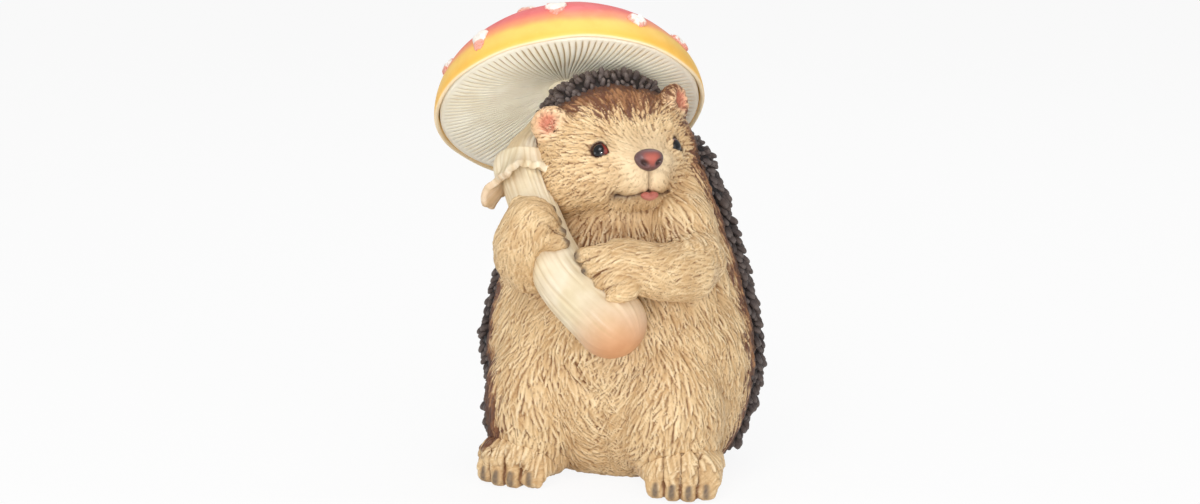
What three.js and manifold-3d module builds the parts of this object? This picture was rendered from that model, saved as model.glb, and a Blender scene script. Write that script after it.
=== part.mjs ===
// Garden ornament: a sitting hedgehog that holds a fly agaric toadstool over its head as a parasol.
// Painted resin castings, glued over hidden steel dowels. Millimetres, +Z up, the animal faces -Y.
// "Left" and "right" are the animal's own sides, so its left side is +X.

import * as THREE from "three";
import { mergeVertices } from "three/addons/utils/BufferGeometryUtils.js";
import Module from "manifold-3d";

const wasm = await Module();
wasm.setup();

// Fits between castings
const SEAT_GAP = 0.3; // glue gap between two pieces that seat on each other
const QUILL_SEAT = 0.7; // glue gap under the faceted quill castings
const DOWEL_GAP = 0.3; // radial room round a dowel in its hole

// Torso, as horizontal sections: height, half width, reach to the front and to the back
const BASE_SIDE = 46;
const BASE_FRONT = 27;
const BASE_BACK = 46;
const RUMP_HEIGHT = 15;
const RUMP_SIDE = 57;
const RUMP_FRONT = 43;
const RUMP_BACK = 56;
const BELLY_HEIGHT = 52;
const BELLY_SIDE = 67;
const BELLY_FRONT = 56;
const BELLY_BACK = 60;
const CHEST_HEIGHT = 94;
const CHEST_SIDE = 60;
const CHEST_FRONT = 49;
const CHEST_BACK = 54;
const SHOULDER_HEIGHT = 122;
const SHOULDER_SIDE = 51;
const SHOULDER_FRONT = 39;
const SHOULDER_BACK = 49;
const COLLAR_HEIGHT = 144;
const COLLAR_SIDE = 44;
const COLLAR_FRONT = 31;
const COLLAR_BACK = 43;
const NAPE_HEIGHT = 164;
const NAPE_SIDE = 35;
const NAPE_FRONT = 20;
const NAPE_BACK = 35;
const TORSO_WALL = 9;
const HAUNCH_SIZE = new THREE.Vector3(25, 25, 37); // half sizes of the bulge over each hind leg
const SHOULDER_SIZE = new THREE.Vector3(17, 17, 22); // half sizes of the bulge over the reaching left arm
const SHOULDER_BULGE_SINK = 4;
const SHOULDER_COVER = 12.5; // how much deeper the left arm's root lies under that bulge

// Pour hole in the base and the rubber plug that closes it
const PLUG_RADIUS = 17;
const PLUG_LIP = 2.5;
const PLUG_AT_Y = 10;
const PLUG_RECESS = 1;

// Quilled back
const QUILL_SHELL = 3.2; // thickness of the casting under the quills
const QUILL_HEIGHT = 4.6; // how far a quill tip stands off the casting
const HOOD_QUILL_HEIGHT = 3.2;
const CAPE_COLUMNS = 15;
const CAPE_ROWS = 9;
const CAPE_LEFT = 2; // degrees behind the left side where the cape begins
const CAPE_RIGHT = 194; // degrees round by the back where it ends, in front of the right side
const CAPE_BOTTOM = 5;
const CAPE_TOP = 165;
const HOOD_COLUMNS = 7;
const HOOD_ROWS = 8;
const HOOD_SPREAD_LEFT = 50; // degrees from the crown down to each ear
const HOOD_SPREAD_RIGHT = 44;
const HOOD_FRONT = 96; // degrees from the back of the skull over the crown to the brow
const HOOD_NAPE = -34; // degrees below the back of the skull
const QUILL_LEAN = 0.9; // half lattice steps that a tip leans towards the rump

// Head, in its own frame: it faces -Y, and sections run forwards from the middle of the skull
const HEAD_AT = new THREE.Vector3(-3, -5, 158);
const HEAD_YAW = 38.5;
const HEAD_PITCH = 4;
const HEAD_ROLL = 0;
const SKULL_SIDE = 40;
const SKULL_HEIGHT = 36;
const SKULL_BACK = 36;
const BROW_FORWARD = 12;
const BROW_SIDE = 40;
const BROW_UP = 30;
const BROW_DOWN = 34;
const EYE_FORWARD = 25;
const EYE_LINE_SIDE = 33;
const EYE_LINE_UP = 15;
const EYE_LINE_DOWN = 28;
const MUZZLE_FORWARD = 35;
const MUZZLE_SIDE = 16.5;
const MUZZLE_UP = 8.5;
const MUZZLE_DOWN = 22;
const LIP_FORWARD = 41.5;
const LIP_SIDE = 12.5;
const LIP_UP = 5;
const LIP_DOWN = 17;
const CHEEK_AT = new THREE.Vector3(28, -10, -11); // middle of the left cheek
const CHEEK_SIZE = new THREE.Vector3(16, 17, 16); // half sizes
const EYE_RADIUS = 4.6;
const EYE_SEAT = 30.5; // how far forward the eyes sit
const EYE_SLOPE = 33; // degrees round the face from its side up to an eye
const EYE_PROUD = 1.2; // how far an eye stands off the face
const NOSE_SIZE = new THREE.Vector3(7.4, 5.2, 5.8); // half sizes
const NOSE_HEIGHT = 0.5;
const MOUTH_DROP = 15; // mouth line below the middle of the skull
const MOUTH_WIDTH = 30;
const MOUTH_CURL = 1; // how far the corners rise above the middle
const MOUTH_GROOVE = 1.1; // radius of the groove
const TONGUE_SIZE = new THREE.Vector3(4.2, 3, 2.2);
const EAR_RADIUS = 8.5;
const EAR_DEPTH = 5;
const EAR_RIM = 2; // wall round the ear's hollow
const EAR_HOLLOW = 4; // depth of the hollow
const EAR_LEFT_ROUND = 49; // degrees from the crown down to each ear
const EAR_RIGHT_ROUND = 63;
const EAR_SPLAY = 30; // degrees that an ear faces outwards
const EAR_FORWARD = 8;

// Toadstool stem: a curved axis from the bulb end to the cap
const BULB_RADIUS = 17;
const STEM_RADIUS = 11;
const STEM_TOP_RADIUS = 9;
const STEM_NECK_RADIUS = 7.8; // behind the ear
const STEM_SEAT = 0.5; // how far it lies into the chest
const BULB_X = 12.5;
const BULB_HEIGHT = 88;
const STEM_REST_X = -13.5; // where it lies against the chest
const STEM_REST_HEIGHT = 107;
const STEM_GRIP_X = -32; // in the right paw
const STEM_GRIP_HEIGHT = 136.5;
const STEM_BESIDE_Y = -24; // beside the cheek
const STEM_BEHIND_Y = 8; // behind the ear
const RING_RADIUS = 20;
const RING_DROP = 10;
const RING_FLAP = 11; // how much further the skirt hangs on the outer side
const RING_FLAP_TURN = 200; // degrees round the stem to that flap
const RING_WALL = 4.2;
const RING_WAVES = 5;
const RING_WAVE = 3; // how far the frill swings in and out
const RING_COLLAR = 4;
const RING_PLACE = 0.49; // share along the stem from the bulb
const RING_UPRIGHT = 0.5; // how far the skirt turns from the stem's line to hang plumb

// Toadstool cap, in its own frame: the rim lies in Z = 0 and the dome rises along +Z
const CAP_LIFT = 3; // rim plane above the crown
const CAP_SIDE = -16; // middle of the rim from the middle of the head, across and back in the rim plane
const CAP_BACK = 21.5;
const CAP_TILT = 40;
const CAP_TURN = 23;
const CAP_RADIUS = 69;
const CAP_HEIGHT = 46;
const CAP_WALL = 7;
const CAP_LIP = 3; // width of the rolled rim outside the gills
const GILL_COUNT = 44;
const GILL_DEPTH = 3.4;
const GILL_PLATE = 4; // plate that carries the gills
const GILL_DISH = 12; // how far the gills rise from the rim to the stem
const CAP_DOWEL_RADIUS = 3;
const CAP_DOWEL_LENGTH = 34;
const CAP_DOWEL_IN_STEM = 14;
const WART_HEIGHT = 2.6;
const WART_RINGS = [
  { around: 1, down: 4, first: 0, size: 0.13 },
  { around: 5, down: 34, first: 20, size: 0.116 },
  { around: 5, down: 62, first: 44, size: 0.098 },
  { around: 5, down: 72, first: 8, size: 0.09 },
]; // down and first are degrees from the top of the dome and round it, size is a share of the cap's radius

// Limbs
const ARM_RADIUS = 15;
const WRIST_RADIUS = 13;
const PAW_RADIUS = 12.5;
const FINGER_RADIUS = 4.4;
const FINGER_COUNT = 4;
const SHOULDER_ANGLE = 40; // degrees in front of the side
const SHOULDER_SINK = 13;
const SHOULDER_DROP = 2; // how much lower the right arm joins
const LEFT_PAW_SHARE = 0.17; // where the left paw lies along the stem, as a share from the bulb
const LEFT_PAW_OFF = new THREE.Vector3(31, -5, 8); // from the stem's axis
const LEFT_ELBOW_OUT = 46;
const LEFT_ELBOW_BACK = 25; // elbow behind the paw
const LEFT_ELBOW_RISE = 16; // above the chest line
const LEFT_WRIST_BOW = new THREE.Vector3(2, -7, -1);
const LEFT_GRIP = [0.12, 0.21]; // shares along the stem of the two end fingers
const LEFT_REACH = 12; // from the knuckles to the tips, across the stem
const RIGHT_PAW_SHARE = 0.3;
const RIGHT_ELBOW_OUT = 32;
const RIGHT_ELBOW_BACK = 17;
const RIGHT_ELBOW_RISE = 15;
const RIGHT_WRIST_BOW = new THREE.Vector3(-4, -7, 0);
const RIGHT_GRIP = [0.27, 0.35];
const RIGHT_REACH = 12;
const ARM_DOWEL_RADIUS = 3;
const ARM_DOWEL_LENGTH = 20;
const FOOT_LENGTH = 38;
const FOOT_HALF_WIDTH = 18.5;
const FOOT_HEIGHT = 25;
const FOOT_SPREAD = 8; // degrees that the toes point outwards
const FOOT_LEFT_X = 46;
const FOOT_RIGHT_X = -43;
const FOOT_REACH = 22.5; // toe tips in front of the rump
const TOE_COUNT = 4;
const TOE_RADIUS = 6.2;
const NECK_DOWEL_RADIUS = 5;
const NECK_DOWEL_LENGTH = 34;

const rad = THREE.MathUtils.degToRad;

// Finishes
const paint = (color, roughness, metalness = 0) =>
  new THREE.MeshStandardMaterial({ color, roughness, metalness });
const furPaint = paint(0xd8b483, 0.75);
const quillPaint = paint(0x35251f, 0.7);
const earPaint = paint(0xdca07c, 0.7);
const eyeGloss = paint(0x1d0d0a, 0.12);
const nosePaint = paint(0x8a4438, 0.35);
const lipPaint = paint(0xc46a5e, 0.4);
const stemPaint = paint(0xefe6c8, 0.65);
const gillPaint = paint(0xe6dcc2, 0.7);
const capPaint = paint(0xf2b04a, 0.45);
const wartPaint = paint(0xf6f1e8, 0.6);
const rubber = paint(0x2b2b2b, 0.9);
const steel = paint(0xb8bcc0, 0.35, 1);

// Solids: closed geometry in, joined or cut geometry out
function solid(geometry) {
  const bare = geometry.clone();
  bare.deleteAttribute("normal");
  bare.deleteAttribute("uv");
  const merged = mergeVertices(bare, 1e-4);
  return new wasm.Manifold(
    new wasm.Mesh({
      numProp: 3,
      vertProperties: merged.attributes.position.array,
      triVerts: new Uint32Array(merged.index.array),
    }),
  );
}

function geometryOf(made) {
  const { vertProperties, triVerts } = made.getMesh();
  return new THREE.BufferGeometry()
    .setAttribute("position", new THREE.BufferAttribute(vertProperties, 3))
    .setIndex(new THREE.BufferAttribute(triVerts, 1));
}

const joined = (...geometries) => geometries.map(solid).reduce((sum, next) => sum.add(next));
const cut = (whole, ...tools) => tools.reduce((rest, tool) => rest.subtract(tool), whole);

// A closed skin over rings of equal point count, fanned shut at both ends.
function skin(rings) {
  const sides = rings[0].length;
  const points = rings.flat();
  const middle = (ring) => ring.reduce((sum, p) => sum.add(p), new THREE.Vector3()).divideScalar(sides);
  const first = points.push(middle(rings[0])) - 1;
  const last = points.push(middle(rings.at(-1))) - 1;
  const faces = [];
  const top = (rings.length - 1) * sides;
  for (let j = 0; j < sides; j++) {
    const k = (j + 1) % sides;
    faces.push(first, k, j, last, top + j, top + k);
    for (let low = 0; low < top; low += sides) {
      faces.push(low + j, low + k, low + sides + k);
      faces.push(low + j, low + sides + k, low + sides + j);
    }
  }
  return new THREE.BufferGeometry().setFromPoints(points).setIndex(faces);
}

// A smooth reading of named sections at any place along them.
function sectionTrack(places, sections) {
  const size = sections[0].length;
  const cubic = new THREE.CubicInterpolant(places, sections.flat(), size);
  return (place) => Array.from(cubic.evaluate(place));
}

// A limb: round sections along a smooth curve through the points, with domed ends.
function limb(points, radii, { steps = 7, sides = 10, grow = 0, flatten = 1 } = {}) {
  const curve = new THREE.CatmullRomCurve3(points);
  const radiusAt = sectionTrack(radii.map((_, i) => i / (radii.length - 1)), radii.map((r) => [r]));
  const across = new THREE.Vector3(0, 0, 1);
  const rings = [];
  const addRing = (place, tangent, radius, ahead) => {
    across.addScaledVector(tangent, -across.dot(tangent)).normalize();
    const beside = new THREE.Vector3().crossVectors(tangent, across);
    const ring = [];
    for (let j = 0; j < sides; j++) {
      const turn = (2 * Math.PI * j) / sides;
      ring.push(
        place
          .clone()
          .addScaledVector(tangent, ahead)
          .addScaledVector(across, radius * Math.cos(turn))
          .addScaledVector(beside, radius * flatten * Math.sin(turn)),
      );
    }
    rings.push(ring);
  };
  const dome = [65, 32].map(rad);
  for (let i = 0; i <= steps; i++) {
    const t = i / steps;
    const place = curve.getPoint(t);
    const tangent = curve.getTangent(t);
    const radius = radiusAt(t)[0] + grow;
    if (i === 0) dome.forEach((a) => addRing(place, tangent, radius * Math.cos(a), -radius * Math.sin(a)));
    addRing(place, tangent, radius, 0);
    if (i === steps)
      dome.reverse().forEach((a) => addRing(place, tangent, radius * Math.cos(a), radius * Math.sin(a)));
  }
  return skin(rings);
}

// An ellipsoid of the given half sizes.
const ellipsoid = (half, across = 12, down = 8) =>
  new THREE.SphereGeometry(1, across, down).scale(half.x, half.y, half.z);

// A round bar along +Z from 0.
const bar = (radius, length, sides = 12) =>
  new THREE.CylinderGeometry(radius, radius, length, sides).rotateX(Math.PI / 2).translate(0, 0, length / 2);

// A frame whose +Z points along a direction.
function frameAlong(at, direction) {
  const turn = new THREE.Quaternion().setFromUnitVectors(
    new THREE.Vector3(0, 0, 1),
    direction.clone().normalize(),
  );
  return new THREE.Matrix4().compose(at, turn, new THREE.Vector3(1, 1, 1));
}

// A shell of quills between two surfaces: a lattice of diamond cells whose outer faces rise to tips
// that lean down the lattice. surface(across, along, grow) takes shares from 0 to 1, and a growth.
function quillShell(surface, columns, rows, quillHeight) {
  const points = [];
  const faces = [];
  const corners = new Map();
  const place = (i, j, grow) => surface(i / (2 * columns), j / (2 * rows), QUILL_SEAT + grow);
  const corner = (i, j) => {
    const key = i * 1000 + j;
    if (!corners.has(key)) corners.set(key, points.push(place(i, j, QUILL_SHELL), place(i, j, 0)) - 2);
    return corners.get(key);
  };
  const cells = [];
  for (let j = 1; j < 2 * rows; j++)
    for (let i = 2 - (j % 2); i < 2 * columns; i += 2)
      cells.push({ i, j, loop: [corner(i - 1, j), corner(i, j - 1), corner(i + 1, j), corner(i, j + 1)] });
  const edges = new Set(
    cells.flatMap(({ loop }) => loop.map((a, k) => `${a}>${loop[(k + 1) % 4]}`)),
  );
  for (const { i, j, loop } of cells) {
    const tip = points.push(place(i, j - QUILL_LEAN, QUILL_SHELL + quillHeight)) - 1;
    const [left, low, right, high] = loop.map((outer) => outer + 1);
    faces.push(left, high, right, left, right, low);
    loop.forEach((a, k) => {
      const b = loop[(k + 1) % 4];
      faces.push(a, b, tip);
      if (!edges.has(`${b}>${a}`)) faces.push(b, a, a + 1, b, a + 1, b + 1);
    });
  }
  return new THREE.BufferGeometry().setFromPoints(points).setIndex(faces);
}

// Torso
const torsoSections = sectionTrack(
  [0, RUMP_HEIGHT, BELLY_HEIGHT, CHEST_HEIGHT, SHOULDER_HEIGHT, COLLAR_HEIGHT, NAPE_HEIGHT],
  [
    [BASE_SIDE, BASE_FRONT, BASE_BACK],
    [RUMP_SIDE, RUMP_FRONT, RUMP_BACK],
    [BELLY_SIDE, BELLY_FRONT, BELLY_BACK],
    [CHEST_SIDE, CHEST_FRONT, CHEST_BACK],
    [SHOULDER_SIDE, SHOULDER_FRONT, SHOULDER_BACK],
    [COLLAR_SIDE, COLLAR_FRONT, COLLAR_BACK],
    [NAPE_SIDE, NAPE_FRONT, NAPE_BACK],
  ],
);

// A point on the torso: turn is in radians from the left side round by the back.
function torsoPoint(turn, height, grow = 0) {
  const [side, front, back] = torsoSections(THREE.MathUtils.clamp(height, 0, NAPE_HEIGHT));
  const reach = Math.sin(turn) > 0 ? back : front;
  return new THREE.Vector3((side + grow) * Math.cos(turn), (reach + grow) * Math.sin(turn), height);
}

function torsoForm(low, high, grow, steps = 12, sides = 26) {
  const rings = [];
  for (let i = 0; i <= steps; i++) {
    const height = low + ((high - low) * i) / steps;
    const ring = [];
    for (let j = 0; j < sides; j++) ring.push(torsoPoint((2 * Math.PI * j) / sides, height, grow));
    rings.push(ring);
  }
  return skin(rings);
}

const haunch = (side, grow = 0) =>
  ellipsoid(HAUNCH_SIZE.clone().addScalar(grow)).translate(
    side * 0.5 * BELLY_SIDE,
    -0.59 * BELLY_FRONT,
    HAUNCH_SIZE.z - 1,
  );
const shoulderBulge = (grow = 0) =>
  ellipsoid(SHOULDER_SIZE.clone().addScalar(grow), 10, 7).translate(
    ...torsoPoint(rad(-SHOULDER_ANGLE), SHOULDER_HEIGHT, -SHOULDER_BULGE_SINK),
  );
const groundBlock = new THREE.BoxGeometry(400, 400, 60).translate(0, 0, -30);
const ground = solid(groundBlock);

const torsoOutline = (grow) =>
  cut(
    joined(torsoForm(0, NAPE_HEIGHT, grow), haunch(1, grow), haunch(-1, grow), shoulderBulge(grow)),
    ground,
  );

const capeSurface = (across, along, grow) =>
  torsoPoint(
    rad(THREE.MathUtils.lerp(CAPE_LEFT, CAPE_RIGHT, across)),
    THREE.MathUtils.lerp(CAPE_BOTTOM, CAPE_TOP, along),
    grow,
  );

// Head, built in its own frame
const headFrame = new THREE.Matrix4()
  .makeRotationFromEuler(new THREE.Euler(rad(-HEAD_PITCH), rad(-HEAD_ROLL), rad(HEAD_YAW), "ZXY"))
  .setPosition(HEAD_AT);

const faceSections = sectionTrack(
  [0, BROW_FORWARD, EYE_FORWARD, MUZZLE_FORWARD, LIP_FORWARD],
  [
    [SKULL_SIDE, SKULL_HEIGHT, SKULL_HEIGHT],
    [BROW_SIDE, BROW_UP, BROW_DOWN],
    [EYE_LINE_SIDE, EYE_LINE_UP, EYE_LINE_DOWN],
    [MUZZLE_SIDE, MUZZLE_UP, MUZZLE_DOWN],
    [LIP_SIDE, LIP_UP, LIP_DOWN],
  ],
);

// A point on the face, turn in radians from the left side over the top.
function facePoint(turn, forward, grow = 0) {
  const [side, up, down] = faceSections(forward);
  const reach = Math.sin(turn) > 0 ? up : down;
  return new THREE.Vector3((side + grow) * Math.cos(turn), -forward, (reach + grow) * Math.sin(turn));
}

function headForm(grow, sides = 20) {
  const rings = [];
  const turns = Array.from({ length: sides }, (_, j) => (2 * Math.PI * j) / sides);
  for (const lift of [72, 48, 24].map(rad)) {
    const back = (SKULL_BACK + grow) * Math.sin(lift);
    const share = Math.cos(lift);
    rings.push(
      turns.map(
        (t) =>
          new THREE.Vector3(
            (SKULL_SIDE + grow) * share * Math.cos(t),
            back,
            (SKULL_HEIGHT + grow) * share * Math.sin(t),
          ),
      ),
    );
  }
  const steps = 8;
  for (let i = 0; i <= steps; i++) {
    const forward = (LIP_FORWARD * i) / steps;
    rings.push(turns.map((t) => facePoint(t, forward, grow)));
  }
  const blunt = 3;
  const tip = -LIP_FORWARD - grow - blunt / 2;
  rings.push(turns.map((t) => facePoint(t, LIP_FORWARD, grow - blunt).setY(tip)));
  return skin(rings);
}

const hoodSurface = (across, along, grow) => {
  const spread = rad(THREE.MathUtils.lerp(HOOD_SPREAD_LEFT, -HOOD_SPREAD_RIGHT, across));
  const lift = rad(THREE.MathUtils.lerp(HOOD_NAPE, HOOD_FRONT, along));
  return new THREE.Vector3(
    (SKULL_SIDE + grow) * Math.sin(spread),
    (SKULL_BACK + grow) * Math.cos(spread) * Math.cos(lift),
    (SKULL_HEIGHT + grow) * Math.cos(spread) * Math.sin(lift),
  );
};

const cheek = (side, grow) =>
  ellipsoid(CHEEK_SIZE.clone().addScalar(grow), 10, 6).translate(
    side * CHEEK_AT.x,
    CHEEK_AT.y,
    CHEEK_AT.z,
  );
const headOutline = (grow) =>
  joined(...[headForm(grow), cheek(1, grow), cheek(-1, grow)].map((form) => form.applyMatrix4(headFrame)));

// The eye's centre, sunk so that it stands proud of the face by a set amount.
function eyePlace(side) {
  const onFace = facePoint(rad(EYE_SLOPE), EYE_SEAT);
  const outward = new THREE.Vector3(1, -1, 1.1).normalize();
  onFace.addScaledVector(outward, EYE_PROUD - EYE_RADIUS);
  return onFace.setX(side * onFace.x);
}

const mouthCurve = new THREE.CatmullRomCurve3(
  [-1, -0.5, 0, 0.5, 1].map((share) => {
    const x = (share * MOUTH_WIDTH) / 2;
    const z = -MOUTH_DROP + MOUTH_CURL * share * share;
    const forward = LIP_FORWARD - (LIP_FORWARD - EYE_FORWARD) * 0.62 * share * share;
    const [side, , down] = faceSections(forward);
    const depth = Math.sqrt(Math.max(0, 1 - (x / side) ** 2 - (z / down) ** 2));
    return new THREE.Vector3(x, -forward - 2.5 * depth, z);
  }),
);
const mouthGroove = new THREE.ExtrudeGeometry(
  new THREE.Shape().absarc(0, 0, MOUTH_GROOVE, 0, 2 * Math.PI),
  { steps: 10, curveSegments: 3, extrudePath: mouthCurve },
);

const earFrame = (side) => {
  const round = rad(side > 0 ? EAR_LEFT_ROUND : EAR_RIGHT_ROUND);
  const at = new THREE.Vector3(
    side * SKULL_SIDE * Math.sin(round),
    -EAR_FORWARD,
    SKULL_HEIGHT * Math.cos(round),
  );
  const local = new THREE.Matrix4().makeRotationFromEuler(
    new THREE.Euler(0, side * round * 0.5, side * rad(EAR_SPLAY), "ZXY"),
  );
  return headFrame.clone().multiply(local.setPosition(at));
};
const earForm = (side, grow = 0) =>
  ellipsoid(new THREE.Vector3(EAR_RADIUS, EAR_DEPTH, EAR_RADIUS).addScalar(grow), 10, 7).applyMatrix4(
    earFrame(side),
  );
const earHollow = (side) =>
  ellipsoid(new THREE.Vector3(EAR_RADIUS - EAR_RIM, EAR_DEPTH, EAR_RADIUS - EAR_RIM), 10, 6)
    .translate(0, EAR_HOLLOW - 2 * EAR_DEPTH, EAR_RIM)
    .applyMatrix4(earFrame(side));

// Toadstool
const capFrame = new THREE.Matrix4().makeRotationFromEuler(
  new THREE.Euler(rad(-CAP_TILT), 0, rad(CAP_TURN), "ZXY"),
);
capFrame.setPosition(
  new THREE.Vector3(CAP_SIDE, CAP_BACK, Math.max(SKULL_HEIGHT, SKULL_BACK) + CAP_LIFT)
    .applyMatrix4(capFrame)
    .add(HEAD_AT),
);
const inCap = (x, y, z) => new THREE.Vector3(x, y, z).applyMatrix4(capFrame);

const gillTop = GILL_DISH + GILL_PLATE; // top face of the gill plate round the stem
const stemTop = inCap(0, 0, gillTop);
const stemUnderCap = inCap(0, 0, -2);
const restRadius = (BULB_RADIUS + STEM_RADIUS) / 2;
const onChest = (x, height, radius) =>
  new THREE.Vector3(x, STEM_SEAT - radius - torsoSections(height)[1], height);
const stemPath = [
  onChest(BULB_X, BULB_HEIGHT, BULB_RADIUS),
  onChest(STEM_REST_X, STEM_REST_HEIGHT, restRadius),
  onChest(STEM_GRIP_X, STEM_GRIP_HEIGHT, STEM_RADIUS),
  new THREE.Vector3(HEAD_AT.x - SKULL_SIDE - 2, STEM_BESIDE_Y, HEAD_AT.z - 2),
  new THREE.Vector3(HEAD_AT.x - SKULL_SIDE - 1, STEM_BEHIND_Y, HEAD_AT.z + 10),
  stemUnderCap,
  stemTop,
];
const stemRadii = [
  BULB_RADIUS,
  restRadius,
  STEM_RADIUS,
  STEM_RADIUS,
  STEM_NECK_RADIUS,
  STEM_TOP_RADIUS,
  STEM_TOP_RADIUS,
];
const aboveStem = new THREE.BoxGeometry(CAP_RADIUS, CAP_RADIUS, 2 * CAP_HEIGHT)
  .translate(0, 0, gillTop + CAP_HEIGHT)
  .applyMatrix4(capFrame);
const stemForm = (grow) => solid(limb(stemPath, stemRadii, { steps: 18, sides: 12, grow }));
const stemCurve = new THREE.CatmullRomCurve3(stemPath);

// Ring: a frilled skirt that hangs from a collar round the stem
function ringForm(sides = 25) {
  const inner = STEM_RADIUS + SEAT_GAP + 0.5;
  const edge = (turn, swing) => RING_RADIUS + RING_WAVE * Math.sin(RING_WAVES * turn) * swing;
  const profile = (turn) => {
    const flap = Math.max(0, Math.cos(turn - rad(RING_FLAP_TURN))) ** 2;
    const drop = RING_DROP + RING_FLAP * flap + 0.5 * RING_WAVE * Math.cos(RING_WAVES * turn + 1);
    const half = edge(turn, 0.5);
    return [
      [inner, 0],
      [inner, -RING_COLLAR],
      [(half + inner) / 2 - RING_WALL / 2, -drop * 0.5],
      [edge(turn, 1) - RING_WALL, -drop],
      [edge(turn, 1), -drop + RING_WALL / 3],
      [(half + inner) / 2 + RING_WALL / 2, -drop * 0.5 + RING_WALL / 2],
      [inner + RING_WALL, -RING_COLLAR / 2],
      [inner + RING_WALL, 0],
    ];
  };
  const count = profile(0).length;
  const points = [];
  const faces = [];
  for (let j = 0; j < sides; j++) {
    const turn = (2 * Math.PI * j) / sides;
    for (const [radius, height] of profile(turn))
      points.push(new THREE.Vector3(radius * Math.cos(turn), radius * Math.sin(turn), height));
    const here = j * count;
    const next = ((j + 1) % sides) * count;
    for (let k = 0; k < count; k++) {
      const m = (k + 1) % count;
      faces.push(here + k, next + m, here + m, here + k, next + k, next + m);
    }
  }
  return new THREE.BufferGeometry().setFromPoints(points).setIndex(faces);
}

// Cap: a domed shell with a central boss, revolved. The dowel hole runs up the boss.
const domePoint = (lift, grow = 0) =>
  new THREE.Vector2((CAP_RADIUS + grow) * Math.cos(lift), (CAP_HEIGHT + grow) * Math.sin(lift));
const domeArc = Array.from({ length: 9 }, (_, i) => rad(11.25 * i));
const domeOutline = (grow) => [
  ...domeArc.slice(0, -1).map((lift) => domePoint(lift, grow)),
  new THREE.Vector2(0, CAP_HEIGHT + grow),
];
const revolved = (profile, sides = 32) => new THREE.LatheGeometry(profile, sides).rotateX(Math.PI / 2);
const bossRadius = STEM_TOP_RADIUS + 2;
const gillRadius = CAP_RADIUS - CAP_LIP;
const gillLedge = GILL_PLATE + SEAT_GAP; // height of the ledge in the rim that the gill plate seats against
function capForm() {
  const holeRadius = CAP_DOWEL_RADIUS + DOWEL_GAP;
  const holeTop = gillTop + CAP_DOWEL_LENGTH - CAP_DOWEL_IN_STEM + SEAT_GAP;
  const inside = domeArc.slice(2, 7).map((lift) => domePoint(lift, -CAP_WALL));
  const bossTop = (CAP_HEIGHT - CAP_WALL) * 0.97;
  const profile = [
    new THREE.Vector2(0, holeTop),
    new THREE.Vector2(holeRadius, holeTop),
    new THREE.Vector2(holeRadius, gillTop + SEAT_GAP),
    new THREE.Vector2(bossRadius, gillTop + SEAT_GAP),
    new THREE.Vector2(bossRadius, bossTop),
    ...inside.reverse(),
    new THREE.Vector2(gillRadius - CAP_WALL, gillLedge),
    new THREE.Vector2(gillRadius + 2 * SEAT_GAP, gillLedge),
    new THREE.Vector2(gillRadius + 2 * SEAT_GAP, 0.4),
    new THREE.Vector2(CAP_RADIUS - CAP_LIP / 3, -0.8),
    ...domeOutline(0),
  ];
  return revolved(profile);
}

// Gill plate: a dished ring, flat at its edge, with radial gills on its underside
function gillForm() {
  const hole = STEM_TOP_RADIUS + 2 * SEAT_GAP;
  const flat = (gillRadius - CAP_WALL - hole) / (gillRadius - hole); // share where the flat edge begins
  const stations = [0, flat * 0.45, flat, 1];
  const points = [];
  const faces = [];
  const around = 2 * GILL_COUNT;
  const dish = (share) => GILL_DISH * Math.max(0, 1 - share / flat) ** 1.5;
  for (let j = 0; j < around; j++) {
    const turn = (2 * Math.PI * j) / around;
    const groove = j % 2;
    const at = (share, height) => {
      const radius = THREE.MathUtils.lerp(hole, gillRadius, share);
      return new THREE.Vector3(radius * Math.cos(turn), radius * Math.sin(turn), height);
    };
    const under = stations.map((s) => at(s, dish(s) + groove * GILL_DEPTH * (0.25 + s * (1.25 - s))));
    const over = [...stations].reverse().map((s) => at(s, dish(s) + GILL_PLATE));
    const loop = [...under, ...over];
    const here = points.length;
    points.push(...loop);
    const next = ((j + 1) % around) * loop.length;
    loop.forEach((_, k) => {
      const m = (k + 1) % loop.length;
      faces.push(here + k, next + m, here + m, here + k, next + k, next + m);
    });
  }
  return new THREE.BufferGeometry().setFromPoints(points).setIndex(faces);
}

// A wart: a low lump with an uneven outline, seated on the dome
function wartForm(radius, seed) {
  const sides = 6;
  const ring = (share, height) =>
    Array.from({ length: sides }, (_, j) => {
      const turn = (2 * Math.PI * j) / sides;
      const uneven = 1 + 0.16 * Math.sin(2 * turn + seed) + 0.1 * Math.sin(3 * turn + 2.3 * seed);
      const reach = radius * share * uneven;
      return new THREE.Vector3(reach * Math.cos(turn), reach * Math.sin(turn), height);
    });
  return skin([ring(1, -3), ring(1, WART_HEIGHT * 0.55), ring(0.62, WART_HEIGHT)]);
}

function warts() {
  const dome = solid(revolved([new THREE.Vector2(), ...domeOutline(SEAT_GAP)]));
  return WART_RINGS.flatMap(({ around, down, first, size }, ring) =>
    Array.from({ length: around }, (_, i) => {
      const turn = rad(first + (360 * i) / around);
      const out = domePoint(rad(90 - down));
      const at = new THREE.Vector3(out.x * Math.cos(turn), out.x * Math.sin(turn), out.y);
      const across = 1 / CAP_RADIUS ** 2;
      const normal = at.clone().multiply(new THREE.Vector3(across, across, 1 / CAP_HEIGHT ** 2));
      const lump = wartForm(size * CAP_RADIUS * (1 - 0.12 * (i % 3)), 1.7 * i + ring);
      return geometryOf(cut(solid(lump.applyMatrix4(frameAlong(at, normal))), dome));
    }),
  );
}

// Arms: each runs from a shoulder on the torso to a paw on the stem
const besideStem = (share, x, y, z) => stemCurve.getPoint(share).add(new THREE.Vector3(x, y, z));
const shoulder = (side, height) =>
  torsoPoint(side > 0 ? rad(-SHOULDER_ANGLE) : Math.PI + rad(SHOULDER_ANGLE), height, -SHOULDER_SINK);
const armReach = STEM_RADIUS + FINGER_RADIUS;

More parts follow.
